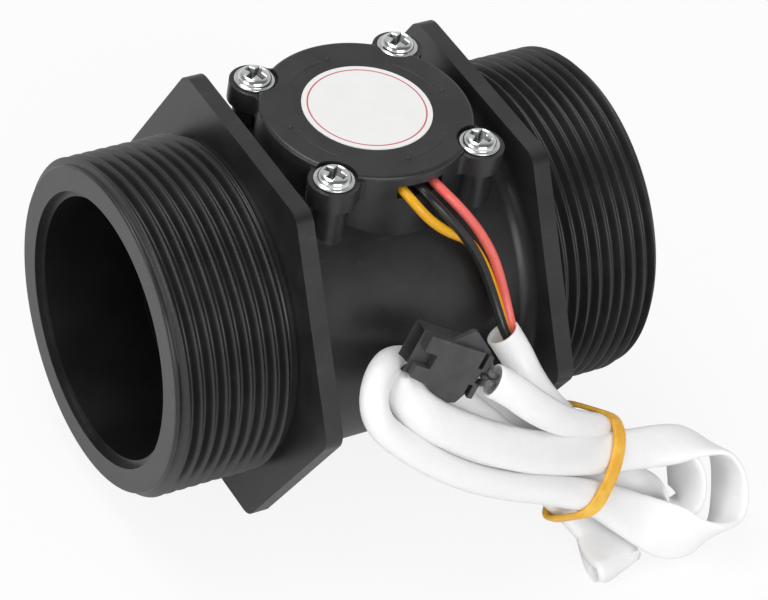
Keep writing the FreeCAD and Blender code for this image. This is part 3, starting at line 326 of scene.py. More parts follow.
def moulded_cover():
    """The cover's black nylon: faint rings from the tool that cut its mould, and a shallow arc in each quarter."""
    f = Finish("black_nylon_cover")
    x, y, z = f.place.parts()
    radius = (x * x + y * y).of("SQRT")
    slow = f.grain(8.0, 3.0, 0.6)
    fine = f.grain(0.30, 2.0, 0.6)
    rings = (radius * (2 * math.pi / (0.42 * MM))).of("SINE") * 0.5 + 0.5
    colour = f.blend(slow.rise(0.3, 0.7), (0.015, 0.015, 0.016), (0.025, 0.025, 0.027))
    smudge = f.grain(3.5, 5.0, 0.7).rise(0.60, 0.75)
    colour = f.blend(smudge * 0.2, colour, (0.060, 0.060, 0.062))
    quarter = (y.of("ARCTAN2", x) * (2 / math.pi) + 4.0).of("FRACT")
    arc = radius.rise(13.55 * MM, 13.70 * MM) * (1 - radius.rise(14.35 * MM, 14.50 * MM))
    arc = arc * quarter.rise(0.06, 0.08) * (1 - quarter.rise(0.44, 0.48))
    arc = arc * z.rise((COVER_TOP - 0.7) * MM, (COVER_TOP - 0.3) * MM)
    rough = 0.34 + (fine - 0.5) * 0.12 + (slow - 0.5) * 0.12 + rings * 0.03
    height = fine + slow * 2.0 + rings * 0.25 + arc * 6.0
    return f.surface(base_color=colour, roughness=rough, normal=f.relief(height, 0.014))


def label_paper():
    """White coated paper with one thin printed ring near its edge."""
    f = Finish("label_paper")
    x, y, z = f.place.parts()
    radius = (x * x + y * y).of("SQRT")
    fibre = f.grain(0.25, 4.0, 0.7)
    cloud = f.grain(5.0, 3.0, 0.5)
    ring = radius.rise(10.00 * MM, 10.06 * MM) * (1 - radius.rise(10.28 * MM, 10.34 * MM))
    paper = f.blend(cloud, (0.80, 0.80, 0.79), (0.87, 0.87, 0.86))
    ink = ring * (0.75 + fibre * 0.3)
    colour = f.blend(ink, paper, (0.55, 0.055, 0.080))
    return f.surface(base_color=colour, roughness=0.50 + fibre * 0.12, normal=f.relief(fibre + cloud, 0.012))


def metal(name, colour, shine, wear, stretch=None):
    """Bare or plated metal with fine drawing or turning marks and dulled patches."""
    f = Finish(name)
    marks = f.grain(0.2, 3.0, 0.6, stretch=stretch)
    patches = f.grain(2.4, 4.0, 0.6)
    shade = f.blend(patches.rise(0.35, 0.7) * 0.6, colour, tuple(c * wear for c in colour))
    rough = shine + (marks - 0.5) * 0.14 + patches.rise(0.45, 0.75) * 0.10
    return f.surface(base_color=shade, metallic=1.0, roughness=rough, normal=f.relief(marks, 0.006))


def insulation(name, colour, deep):
    """Soft plastic wire insulation: glossy, with drawing lines and a slightly uneven colour."""
    f = Finish(name)
    lines = f.grain(0.5, 3.0, 0.5)
    slow = f.grain(6.0, 2.0, 0.5)
    shade = f.blend(slow.rise(0.25, 0.75), deep, colour)
    return f.surface(base_color=shade, roughness=0.30 + (lines - 0.5) * 0.2, normal=f.relief(lines, 0.03))


def sleeving():
    """White soft sleeving: faint cross creases where it is bent and fine lengthwise drawing lines."""
    f = Finish("sleeving_white")
    around, along, _ = f.node("ShaderNodeTexCoord", out="UV").parts()
    drawing = f.node("ShaderNodeCombineXYZ", {}, {0: around * 14.0, 1: along * 90.0})
    values = {"Vector": drawing, "Scale": 1.0, "Detail": 3.0, "Roughness": 0.55}
    drawn = f.node("ShaderNodeTexNoise", {}, values)
    creases = f.grain(3.2, 3.0, 0.55)
    dust = f.grain(7.0, 4.0, 0.6)
    colour = f.blend(dust.rise(0.35, 0.75) * 0.5, (0.93, 0.93, 0.935), (0.88, 0.88, 0.89))
    rough = 0.36 + (drawn - 0.5) * 0.18 + (dust - 0.5) * 0.1
    return f.surface(base_color=colour, roughness=rough, normal=f.relief(drawn * 0.5 + creases * 2.0, 0.10))


def rubber_band():
    """Amber natural rubber, a little darker where it is thin, with fine stretch lines."""
    f = Finish("band_amber_rubber")
    lines = f.grain(0.35, 3.0, 0.6)
    slow = f.grain(3.0, 3.0, 0.6)
    colour = f.blend(slow.rise(0.3, 0.7), (0.84, 0.40, 0.030), (0.93, 0.56, 0.070))
    return f.surface(base_color=colour, roughness=0.42 + (lines - 0.5) * 0.2, normal=f.relief(lines + slow, 0.05))


def circuit_board():
    """Green solder resist with tracks that show through it as slightly lighter lines."""
    f = Finish("board_green_resist")
    x, y, z = f.place.parts()
    tracks = (x * 2400.0 + (y * 900.0).of("SINE") * 1.2).of("SINE").rise(0.55, 0.75)
    fine = f.grain(0.3, 3.0, 0.6)
    colour = f.blend(tracks * 0.7, (0.010, 0.120, 0.040), (0.030, 0.210, 0.075))
    return f.surface(base_color=colour, roughness=0.28 + fine * 0.12, normal=f.relief(tracks + fine * 0.3, 0.03))


def resin():
    """Cast black resin: a glossy skin with slow waves and a few small bubbles."""
    f = Finish("resin_black_cast")
    waves = f.grain(4.0, 2.0, 0.5)
    spots = f.node("ShaderNodeTexVoronoi", {}, {"Vector": f.place, "Scale": 1400.0})
    bubbles = 1 - spots.rise(0.10, 0.22)
    colour = f.blend(waves.rise(0.3, 0.7), (0.008, 0.008, 0.009), (0.020, 0.020, 0.022))
    return f.surface(base_color=colour, roughness=0.20 + waves * 0.18, normal=f.relief(waves * 3.0 - bubbles, 0.05))


def screw_plate():
    """Bright zinc plate, with painted shade that darkens the cross recess."""
    f = Finish("screw_zinc_plate")
    x, y, z = f.place.parts()
    half = SCREW_ACROSS / 2 * MM
    across, back = ((way.of("ABSOLUTE") - SCREW_AT * MM) / half for way in (x, y))
    out = across * across + back * back
    crown = (z - EAR_TOP * MM) / (SCREW_HIGH * MM)
    dome = 1.0 - out * 0.38 - out * out * 0.28
    # painted shade: inside the cross recess, below the dome's surface, the colour goes near black and the roughness
    # rises
    recess_shade = (dome - crown).rise(0.05, 0.20) * (1 - out.rise(0.42, 0.52))
    marks = f.grain(0.2, 3.0, 0.6)
    patches = f.grain(2.4, 4.0, 0.6)
    plate = f.blend(patches.rise(0.35, 0.7) * 0.6, (0.82, 0.83, 0.84), (0.62, 0.63, 0.64))
    colour = f.blend(recess_shade * 0.85, plate, (0.06, 0.06, 0.06))
    rough = 0.22 + (marks - 0.5) * 0.12 + patches.rise(0.45, 0.75) * 0.08 + recess_shade * 0.25
    return f.surface(base_color=colour, metallic=1.0, roughness=rough, normal=f.relief(marks, 0.005))


body_black = moulded_body()
cover_black = moulded_cover()
label_white = label_paper()
screw_zinc = screw_plate()
support_grey = moulded("support_grey_moulding", (0.055, 0.058, 0.062), (0.085, 0.088, 0.092), 0.46)
ring_steel = metal("ring_spring_steel", (0.52, 0.52, 0.53), 0.30, 0.7)
bush_dark = moulded("bush_dark_polymer", (0.020, 0.018, 0.016), (0.034, 0.031, 0.028), 0.40, 0.25)
board_green = circuit_board()
sensor_black = moulded("sensor_black_epoxy", (0.016, 0.016, 0.017), (0.026, 0.026, 0.028), 0.50, 0.20)
parts_black = moulded("parts_black_case", (0.018, 0.018, 0.020), (0.030, 0.030, 0.034), 0.40, 0.25)
resin_black = resin()
yellow_wire = insulation("wire_yellow_insulation", (0.84, 0.44, 0.010), (0.74, 0.35, 0.006))
black_wire = insulation("wire_black_insulation", (0.020, 0.020, 0.021), (0.010, 0.010, 0.010))
lead_black = insulation("connector_lead_insulation", (0.150, 0.150, 0.154), (0.085, 0.085, 0.088))
red_wire = insulation("wire_red_insulation", (0.92, 0.19, 0.16), (0.84, 0.12, 0.10))
sleeve_white = sleeving()
band_amber = rubber_band()
connector_black = moulded(
    "connector_black_nylon", (0.040, 0.040, 0.042), (0.058, 0.058, 0.061), 0.46, 0.25, 0.008, mottle=4.0
)
rotor_blue = moulded("rotor_blue_acetal", (0.020, 0.095, 0.30), (0.030, 0.130, 0.38), 0.36, 0.30)
shaft_steel = metal("shaft_ground_steel", (0.66, 0.66, 0.67), 0.18, 0.85, stretch=(6.0, 1.0, 1.0))
magnet_nickel = metal("magnet_nickel_plate", (0.66, 0.63, 0.58), 0.20, 0.8)
pin_tin = metal("pin_tin_plate", (0.74, 0.73, 0.71), 0.32, 0.75)

for finish, node_names in (
    (cover_black, "cover"),
    (label_white, "label_disc"),
    (support_grey, "inlet_support outlet_support"),
    (ring_steel, "inlet_retaining_ring outlet_retaining_ring"),
    (bush_dark, "inlet_bush outlet_bush inlet_thrust_washer outlet_thrust_washer"),
    (board_green, "hall_board"),
    (sensor_black, "hall_sensor"),
    (parts_black, "board_parts"),
    (resin_black, "potting_resin"),
    (lead_black, "connector_wire_1 connector_wire_2 connector_wire_3"),
    (pin_tin, "connector_pin_1 connector_pin_2 connector_pin_3"),
    (rotor_blue, "rotor"),
    (magnet_nickel, "rotor_magnet_1 rotor_magnet_2 rotor_magnet_3 rotor_magnet_4"),
    (shaft_steel, "rotor_shaft"),
):
    for node_name in node_names.split():
        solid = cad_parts[node_name].data
        solid.materials.clear()
        solid.materials.append(finish)

# ---------------------------------------------------------------- helpers for meshes


def unit(v):
    """The same direction, or rows of directions, at length 1."""
    return v / np.maximum(np.linalg.norm(v, axis=-1, keepdims=True), 1e-12)


def piece_from(name, mesh, finish):
    """A mesh as a finished piece that rides on the meter's body."""
    piece = bpy.data.objects.new(name, mesh)
    scene.collection.objects.link(piece)
    mesh.materials.clear()
    mesh.materials.append(finish)
    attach(piece, "meter")
    return piece


def mesh_from(name, points, faces, smooth=True):
    """A mesh from its points and faces."""
    mesh = bpy.data.meshes.new(name)
    mesh.from_pydata([tuple(p) for p in points], [], faces)
    mesh.validate()
    if smooth:
        mesh.shade_smooth()
    return mesh


def ring_faces(rings, count, closed=False):
    """The faces that join each ring of count points to the next."""
    faces = []
    for j in range(rings if closed else rings - 1):
        near, far = j * count, (j + 1) % rings * count
        faces += [(near + k, near + (k + 1) % count, far + (k + 1) % count, far + k) for k in range(count)]
    return faces


@contextmanager
def opened(mesh):
    """The mesh's editable form, which is written back at the end."""
    work = bmesh.new()
    work.from_mesh(mesh)
    yield work
    work.to_mesh(mesh)
    work.free()


def outward(mesh):
    """Merges what coincides and turns every face outwards."""
    with opened(mesh) as work:
        bmesh.ops.remove_doubles(work, verts=work.verts, dist=1e-7)
        bmesh.ops.recalc_face_normals(work, faces=work.faces)
    return mesh


def evaluated_mesh(piece, name):
    """The piece with its modifiers worked in, as a plain mesh."""
    graph = bpy.context.evaluated_depsgraph_get()
    graph.update()
    mesh = bpy.data.meshes.new_from_object(piece.evaluated_get(graph), depsgraph=graph)
    mesh.name = name
    return mesh


def merged_copy(node, name):
    """A CAD node's shape as a merged mesh of flat faces, ready for a bevel."""
    work = bmesh.new()
    work.from_mesh(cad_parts[node].data)
    bmesh.ops.remove_doubles(work, verts=work.verts, dist=2e-6)
    mesh = bpy.data.meshes.new(name)
    work.to_mesh(mesh)
    work.free()
    if mesh.attributes.get("custom_normal"):
        mesh.attributes.remove(mesh.attributes["custom_normal"])
    mesh.materials.clear()
    return mesh


def work_in(piece):
    """Makes what the piece's modifiers give its own mesh, and takes them off."""
    mesh = evaluated_mesh(piece, piece.name)
    piece.modifiers.clear()
    old, piece.data = piece.data, mesh
    bpy.data.meshes.remove(old)


def soften_edges(piece, width):
    """Puts a small round on the sharp edges, with even shading on the flats."""
    piece.data.shade_smooth()
    bevel = piece.modifiers.new("soft_edges", "BEVEL")
    bevel.width, bevel.segments = width * MM, 2
    bevel.limit_method, bevel.angle_limit = "ANGLE", math.radians(30)
    work_in(piece)
    piece.data.shade_smooth()
    piece.data.set_sharp_from_angle(angle=math.radians(38))
    piece.modifiers.new("even_shading", "WEIGHTED_NORMAL").keep_sharp = True
    work_in(piece)


def spline_curve(name, rows, resolution):
    """A smooth open line with these control points, in metres."""
    curve = bpy.data.curves.new(name, "CURVE")
    curve.dimensions = "3D"
    spline = curve.splines.new("NURBS")
    spline.points.add(len(rows) - 1)
    for point, row in zip(spline.points, rows):
        point.co = (*row, 1.0)
    spline.order_u = 3
    spline.use_endpoint_u = True
    spline.resolution_u = resolution
    return curve


def spline_points(rows):
    """The points that a smooth line with these control points passes through."""
    line = bpy.data.objects.new("line", spline_curve("line", rows, 20))
    scene.collection.objects.link(line)
    mesh = evaluated_mesh(line, "line")
    points = np.array([v.co for v in mesh.vertices], float)
    bpy.data.objects.remove(line)
    bpy.data.meshes.remove(mesh)
    return points


def evenly(points, others, step):
    """Points along a line a step apart, and other values at the same places."""
    gone = np.concatenate([[0.0], np.cumsum(np.linalg.norm(np.diff(points, axis=0), axis=1))])
    count = max(8, int(round(gone[-1] / step)) + 1)
    at = np.linspace(0, gone[-1], count)
    spread = lambda values: np.stack([np.interp(at, gone, column) for column in values.T], axis=1)
    return spread(points), [spread(values) for values in others], gone[-1]


# ---------------------------------------------------------------- wires


def make_wire(name, route, finish):
    """One insulated wire from the notch in the cover to the sleeving."""
    curve = spline_curve(name, [tuple(c * MM for c in row) for row in route], 18)
    curve.bevel_depth = WIRE_ACROSS / 2 * MM
    curve.bevel_resolution = 5
    curve.use_fill_caps = True
    curve.materials.append(finish)
    wire = bpy.data.objects.new(name, curve)
    scene.collection.objects.link(wire)
    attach(wire, "meter")
    return wire


for name, route, finish, node_name, length in (
    ("yellow_wire", WIRE_YELLOW, yellow_wire, "wire_yellow", 48.4),
    ("black_wire", WIRE_BLACK, black_wire, "wire_black", 44.6),
    ("red_wire", WIRE_RED, red_wire, "wire_red", 44.8),
):
    wire = make_wire(name, route, finish)
    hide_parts(node_name)

# ---------------------------------------------------------------- sleeving

RING = 32  # points round the sleeving
STATION = 0.75  # from one ring of points to the next
LIP, INNER = 0.93, 0.84  # the rim's and the inner wall's share of the outside
MOUTH_DEEP = 9  # rings of inner wall behind each mouth
SLANT_FAR = 12  # rings over which the first mouth's slanting cut dies away
MOUTH_SLANT = np.array((-0.32, -0.40, 0.42))  # how far that cut leans, and which way
LEAST_HIGH = 0.12  # the sleeving's underside where it lies on the table


def sleeve_rings():
    """Even stations along the sleeving, in metres: centre, tangent, ways of the flat side and the edge, and size."""
    table = np.array(SLEEVE, float)
    line = spline_points([tuple(row[:3] * MM) for row in table])
    facing = spline_points([tuple(unit(row[3:6])) for row in table])
    size = spline_points([(row[6] * MM, row[7] * MM, 0.0) for row in table])
    centre, (facing, size), length = evenly(line, [facing, size], STATION * MM)
    tangent = unit(np.gradient(centre, axis=0))
    for _ in range(3):
        facing = unit(facing - (facing * tangent).sum(1, keepdims=True) * tangent)
        smooth = facing.copy()
        for shift in (1, 2, 3, 4):
            smooth[shift:] += facing[:-shift]
            smooth[:-shift] += facing[shift:]
        facing = unit(smooth)
    facing = unit(facing - (facing * tangent).sum(1, keepdims=True) * tangent)
    return centre, tangent, facing, np.cross(tangent, facing), size, length


def sleeve_section(width, height):
    """A tube pressed flat: round at equal width and height, otherwise two flats with round edges."""
    angles = np.arange(RING) * 2 * math.pi / RING
    c, s = np.cos(angles), np.sin(angles)
    small = min(width, height) / 2
    spread = lambda way: np.tanh(2.2 * way) / math.tanh(2.2)
    return small * c + (width / 2 - small) * spread(c), small * s + (height / 2 - small) * spread(s)


def make_sleeve():
    """The whole sleeving as one tube with a wall that shows at both open mouths."""
    centre, tangent, facing, edge, size, length = sleeve_rings()
    last = len(centre) - 1
    order = [(i, INNER) for i in range(MOUTH_DEEP, -1, -1)] + [(0, LIP)] + [(i, 1.0) for i in range(last + 1)]
    order += [(last, LIP)] + [(i, INNER) for i in range(last, last - MOUTH_DEEP - 1, -1)]
    points, uvs = [], []
    for i, share in order:
        a, b = sleeve_section(*size[i][:2])
        out = 0.12 * MM * (share == LIP)
        middle = centre[i] + tangent[i] * out * (-1 if i == 0 else 1)
        ring = middle + (edge[i] * a[:, None] + facing[i] * b[:, None]) * share
        lean = max(0.0, 1 - i / SLANT_FAR) * (ring - middle) @ MOUTH_SLANT
        ring = ring + tangent[i] * lean[:, None]
        ring[:, 2] = np.maximum(ring[:, 2], LEAST_HIGH * MM)
        points += list(ring)
        uvs.append(i / last * length)
    faces = ring_faces(len(order), RING)
    faces.append(tuple(range(RING))[::-1])
    faces.append(tuple((len(order) - 1) * RING + k for k in range(RING)))
    mesh = mesh_from("sleeving", points, faces)
    layer = mesh.uv_layers.new(name="UVMap")
    for corner, spot in zip(mesh.loops, layer.data):
        row, k = divmod(corner.vertex_index, RING)
        spot.uv = (abs(k / RING - 0.5) * 2, uvs[row] * 10)
    with opened(mesh) as work:
        bmesh.ops.recalc_face_normals(work, faces=work.faces)
    sleeve = piece_from("sleeving", mesh, sleeve_white)
    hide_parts("sleeve_lead", "sleeve_hank", "sleeve_tail")
    return sleeve, centre, length


sleeve, sleeve_line, sleeve_length = make_sleeve()

# ---------------------------------------------------------------- rubber band

BAND_HALF_WIDE = 1.32
BAND_HALF_THICK = 0.48
BAND_RING = 16  # points round the band's own section
WAIST = np.array((27.0, -42.3, 16.4)) * MM  # the hank's middle at the band, and its own three directions
WAIST_ALONG = unit(np.array((0.879, -0.09, -0.469)))
WAIST_DOWN = unit(np.array((-0.405, -0.662, -0.631)))
WAIST_FRONT = np.cross(WAIST_DOWN, WAIST_ALONG)
WAIST_FRONT = WAIST_FRONT * np.sign(WAIST_FRONT[2])


def hull_of(points):
    """The outline round a set of flat points, in order."""
    points = sorted(map(tuple, points))

    def half(line):
        kept = []
        for p in line:
            while len(kept) > 1 and (
                (kept[-1][0] - kept[-2][0]) * (p[1] - kept[-2][1])
                - (kept[-1][1] - kept[-2][1]) * (p[0] - kept[-2][0])
            ) <= 0:
                kept.pop()
            kept.append(p)
        return kept[:-1]

    return np.array(half(points) + half(points[::-1]))


def band_slant(down, front):
    """How far along the hank the band has slipped at a place so far down and to the front."""
    below = np.clip(down, 0, None) ** 1.6
    behind = np.clip(3.0 - front, 0, None)
    upper = np.clip((4.0 - down) / 8.0, 0, 1)
    return 2.9 - 0.04 * down - 0.085 * below - 0.62 * behind * upper * upper * (3 - 2 * upper)


def make_band():
    """The rubber band, stretched round the strands where they pass through it."""
    away = np.array([v.co for v in sleeve.data.vertices]) - WAIST
    along, down, front = (away @ axis / MM for axis in (WAIST_ALONG, WAIST_DOWN, WAIST_FRONT))
    near = (np.abs(along - band_slant(down, front)) < 1.2) & (np.abs(down) < 14) & (np.abs(front) < 12)
    outline = hull_of(np.stack([down[near], front[near]], axis=1))
    closed = np.vstack([outline, outline[:1]])
    gone = np.concatenate([[0], np.cumsum(np.linalg.norm(np.diff(closed, axis=0), axis=1))])
    at = np.linspace(0, gone[-1], 181)[:-1]
    loop = np.stack([np.interp(at, gone, closed[:, i]) for i in (0, 1)], axis=1)
    for _ in range(14):
        loop = loop * 0.5 + (np.roll(loop, 1, 0) + np.roll(loop, -1, 0)) * 0.25
    way = unit(np.roll(loop, -1, 0) - np.roll(loop, 1, 0))
    out = np.stack([way[:, 1], -way[:, 0]], axis=1)
    loop = loop + out * 0.50
    slip = band_slant(loop[:, 0], loop[:, 1])
    for _ in range(10):
        slip = slip * 0.5 + (np.roll(slip, 1) + np.roll(slip, -1)) * 0.25
    ring = WAIST + (loop[:, :1] * WAIST_DOWN + loop[:, 1:] * WAIST_FRONT + slip[:, None] * WAIST_ALONG) * MM
    normal = out[:, :1] * WAIST_DOWN + out[:, 1:] * WAIST_FRONT
    tangent = unit(np.roll(ring, -1, 0) - np.roll(ring, 1, 0))
    across = unit(np.cross(tangent, normal))
    normal = np.cross(across, tangent)
    normal *= np.sign((normal * (ring - WAIST)).sum(1, keepdims=True))
    section = []
    for angle in np.arange(BAND_RING) * 2 * math.pi / BAND_RING:
        c, s = math.cos(angle), math.sin(angle)
        wide, thick = math.copysign(abs(c) ** 0.5, c), math.copysign(abs(s) ** 0.6, s)
        section.append((wide * BAND_HALF_WIDE, thick * BAND_HALF_THICK))
    points = [ring[i] + (across[i] * a + normal[i] * b) * MM for i in range(len(ring)) for a, b in section]
    mesh = outward(mesh_from("rubber_band_tie", points, ring_faces(len(ring), BAND_RING, closed=True)))
    band = piece_from("rubber_band_tie", mesh, band_amber)
    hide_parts("rubber_band")


make_band()

# ---------------------------------------------------------------- pipe body and its threads

THREAD_ROOT = 28.3  # these three are radii
THREAD_CREST = 29.8
SPIGOT_WALL = 28.2  # under the thread
PITCH = 2.309


def tree_with(name, inputs):
    """A geometry tree whose named inputs are a list of name, kind and value."""
    tree = bpy.data.node_groups.new(name, "GeometryNodeTree")
    tree.interface.new_socket("Geometry", in_out="INPUT", socket_type="NodeSocketGeometry")
    for label, kind, value in inputs:
        socket = tree.interface.new_socket(label, in_out="INPUT", socket_type=kind)
        if value is not None:
            socket.default_value = value
    tree.interface.new_socket("Geometry", in_out="OUTPUT", socket_type="NodeSocketGeometry")
    maker = Nodes(tree)
    given = tree.nodes.new("NodeGroupInput")
    return maker, {socket.name: Signal(maker, socket) for socket in given.outputs if socket.name}


def grown(name, tree, values, base=None):
    """The plain mesh that a geometry tree makes with these values."""
    holder = bpy.data.objects.new(name, base or bpy.data.meshes.new(name))
    scene.collection.objects.link(holder)
    modifier = holder.modifiers.new("tree", "NODES")
    modifier.node_group = tree
    for item in tree.interface.items_tree:
        if item.in_out == "INPUT" and item.name in values:
            modifier[item.identifier] = values[item.name]
    mesh = evaluated_mesh(holder, name)
    holder.modifiers.remove(modifier)
    bpy.data.objects.remove(holder)
    return mesh


def thread_tree():
    """A pipe thread as a closed ring: rounded ridges on a helix, with a plain collar at its start. In metres."""
    number, whole = "NodeSocketFloat", "NodeSocketInt"
    maker, given = tree_with(
        "pipe_thread",
        [
            ("Start", number, 0.0243), ("End", number, 0.0473), ("Inner radius", number, 0.0276),
            ("Root radius", number, 0.0283), ("Crest radius", number, 0.0298), ("Pitch", number, 0.002309),
            ("Collar radius", number, 0.0286), ("Collar width", number, 0.0009), ("Run-out", number, 0.0009),
            ("First ridge", number, 0.42), ("Stations", whole, 190), ("Places round", whole, 181),
            ("Finish", "NodeSocketMaterial", None),
        ],
    )
    grid = maker.node(
        "GeometryNodeMeshGrid", {},
        {"Size X": 1.0, "Size Y": 1.0, "Vertices X": given["Stations"], "Vertices Y": given["Places round"]},
    )
    u, turn, _ = maker.node("GeometryNodeInputPosition").parts()
    rows = given["Stations"]
    row = ((u + 0.5) * (rows - 1)).of("ROUND")
    turn = turn + 0.5
    share = maker.node("ShaderNodeClamp", {}, {0: (row - 1) / (rows - 4)})
    last = row.of("GREATER_THAN", rows - 1.5)
    outer = row.of("GREATER_THAN", 0.5) * row.of("LESS_THAN", rows - 2.5)
    start, end, pitch = given["Start"], given["End"], given["Pitch"]
    x = start + (end - start) * share * (1 - last)
    phase = ((x - start) / pitch - turn + given["First ridge"]).of("FRACT")
    ridge = (1 - ((phase - 0.5) * 2).of("ABSOLUTE")).rise(0.10, 1.02) ** 0.9
    begins = x.rise(start + given["Run-out"], start + given["Run-out"] + pitch * 0.35)
    collar = x.rise(end - given["Collar width"] - pitch * 0.12, end - given["Collar width"])
    root = given["Root radius"]
    crest = (given["Crest radius"] - root) * ridge * begins * (1 - collar)
    rounding = (((x - end) / 0.0005 + 1).of("MAXIMUM", 0.0) ** 2.0) * 0.0003
    profile = root + crest + (given["Collar radius"] - root) * collar - rounding
    radius = given["Inner radius"] + (profile - given["Inner radius"]) * outer
    angle = turn * (2 * math.pi)
    place = maker.node(
        "ShaderNodeCombineXYZ", {}, {0: x, 1: radius * angle.of("COSINE"), 2: radius * angle.of("SINE")}
    )
    moved = maker.node("GeometryNodeSetPosition", {}, {"Geometry": grid, "Position": place})
    joined = maker.node("GeometryNodeMergeByDistance", {}, {"Geometry": moved, "Distance": 1e-7})
    made = maker.node("GeometryNodeRealizeInstances", {}, {"Geometry": joined})
    made = maker.node("GeometryNodeSetMaterial", {}, {"Geometry": made, "Material": given["Finish"]})
    maker.node("NodeGroupOutput", {}, {"Geometry": made})
    return maker.tree


def make_body():
    """The black moulding: the CAD shape with its edges softened, and a cut thread on each spigot."""
    mesh = merged_copy("pipe_body", "pipe_body_moulding")
    for vertex in mesh.vertices:
        up = vertex.co.z - AXIS_HIGH * MM
        radius = math.hypot(vertex.co.y, up)
        if abs(vertex.co.x) > (FLANGE_FACE - 0.04) * MM and SPIGOT_WALL * MM < radius < 30.4 * MM:
            shrink = SPIGOT_WALL * MM / radius
            vertex.co.y *= shrink
            vertex.co.z = AXIS_HIGH * MM + up * shrink
    with opened(mesh) as work:
        bmesh.ops.remove_doubles(work, verts=work.verts, dist=2e-6)
        bmesh.ops.dissolve_limit(work, angle_limit=0.004, verts=work.verts, edges=work.edges)
    body = piece_from("pipe_body_moulding", mesh, body_black)
    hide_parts("pipe_body")
    soften_edges(body, 0.35)
    tree = thread_tree()
    values = {
        "Start": (FLANGE_FACE - 0.1) * MM, "End": (END - 0.02) * MM, "Root radius": THREAD_ROOT * MM,
        "Crest radius": THREAD_CREST * MM, "Pitch": PITCH * MM, "Finish": body_black,
    }
    for name, half_turns in (("outlet_thread", 0), ("inlet_thread", 1)):
        mesh = grown(name, tree, values)
        mesh.transform(Matrix.Rotation(math.pi * half_turns, 4, "Z"))
        mesh.transform(Matrix.Translation((0, 0, AXIS_HIGH * MM)))
        outward(mesh).shade_smooth()
        mesh.set_sharp_from_angle(angle=math.radians(60))
        piece_from(name, mesh, body_black)


make_body()

# ---------------------------------------------------------------- cover screws and the small marks on the cover


def turned(name, profile, peak, count):
    """A closed mesh turned round Z, from a profile of radius and height that starts at its foot, up to its peak."""
    angles = [2 * math.pi * k / count for k in range(count)]
    points = [(radius * math.cos(a), radius * math.sin(a), height) for radius, height in profile for a in angles]
    foot, top = len(points), len(points) + 1
    points += [(0, 0, profile[0][1]), (0, 0, peak)]
    faces = ring_faces(len(profile), count)
    for k in range(count):
        n = (k + 1) % count
        faces += [(foot, n, k), (foot - count + k, foot - count + n, top)]
    return outward(mesh_from(name, points, faces))


def screw_head():
    """A pan head one unit across and one high, with a tapered cross recess."""
    profile = [
        (0.47, 0.0), (0.492, 0.04), (0.5, 0.12), (0.495, 0.21), (0.478, 0.26), (0.452, 0.265), (0.430, 0.235),
        (0.418, 0.26), (0.412, 0.36), (0.400, 0.50), (0.375, 0.65), (0.332, 0.78), (0.27, 0.88), (0.185, 0.95),
        (0.09, 0.99),
    ]
    head = bpy.data.objects.new("head", turned("head", profile, 1.0, 48))
    scene.collection.objects.link(head)
    corners = []
    for height, reach, half in ((1.15, 0.345, 0.108), (0.10, 0.12, 0.060)):
        for quarter in range(4):
            c, s = ((1, 0), (0, 1), (-1, 0), (0, -1))[quarter]
            for forward, side in ((half, -half), (reach, -half), (reach, half)):
                corners.append((c * forward - s * side, s * forward + c * side, height))
    n = 12
    sides = [(i, n + i, n + (i + 1) % n, (i + 1) % n) for i in range(n)]
    recess = mesh_from("recess", corners, [tuple(range(n)), tuple(range(2 * n - 1, n - 1, -1))] + sides, smooth=False)
    cutter = bpy.data.objects.new("recess", outward(recess))
    scene.collection.objects.link(cutter)
    cut = head.modifiers.new("recess", "BOOLEAN")
    cut.operation, cut.object, cut.solver = "DIFFERENCE", cutter, "EXACT"
    soft = head.modifiers.new("edge", "BEVEL")
    soft.width, soft.segments, soft.limit_method, soft.angle_limit = 0.012, 2, "ANGLE", math.radians(32)
    mesh = evaluated_mesh(head, "screw_head")
    for spare in (head, cutter):
        bpy.data.objects.remove(spare)
    mesh.shade_smooth()
    mesh.set_sharp_from_angle(angle=math.radians(40))
    return mesh


def placed_tree(name):
    """Copies of one small shape at given places, each turned by its own angle."""
    maker, given = tree_with(
        name,
        [
            ("Shape", "NodeSocketObject", None), ("Across", "NodeSocketFloat", 0.0072),
            ("Height", "NodeSocketFloat", 0.0025), ("Finish", "NodeSocketMaterial", None),
        ],
    )
    shape = maker.node("GeometryNodeObjectInfo", {}, {"Object": given["Shape"]}, "Geometry")
    turn = maker.node("GeometryNodeInputNamedAttribute", {"data_type": "FLOAT"}, {"Name": "turn"})
    size = maker.node("ShaderNodeCombineXYZ", {}, {0: given["Across"], 1: given["Across"], 2: given["Height"]})
    copies = maker.node(
        "GeometryNodeInstanceOnPoints", {},
        {
            "Points": given["Geometry"], "Instance": shape,
            "Rotation": maker.node("ShaderNodeCombineXYZ", {}, {2: turn}), "Scale": size,
        },
    )
    made = maker.node("GeometryNodeRealizeInstances", {}, {"Geometry": copies})
    made = maker.node("GeometryNodeSetMaterial", {}, {"Geometry": made, "Material": given["Finish"]})
    maker.node("NodeGroupOutput", {}, {"Geometry": made})
    return maker.tree


def set_out(name, tree, shape_mesh, places, across, height, finish):
    """A mesh with the shape at each place: x, y, z in millimetres and its turn in degrees."""
    base = bpy.data.meshes.new(name)
    base.from_pydata([(x * MM, y * MM, z * MM) for x, y, z, turn in places], [], [])
    turns = base.attributes.new("turn", "FLOAT", "POINT")
    turns.data.foreach_set("value", [math.radians(row[3]) for row in places])
    shape = bpy.data.objects.new("shape", shape_mesh)
    scene.collection.objects.link(shape)
    mesh = grown(name, tree, {"Shape": shape, "Across": across * MM, "Height": height * MM, "Finish": finish}, base)
    bpy.data.objects.remove(shape)
    return mesh


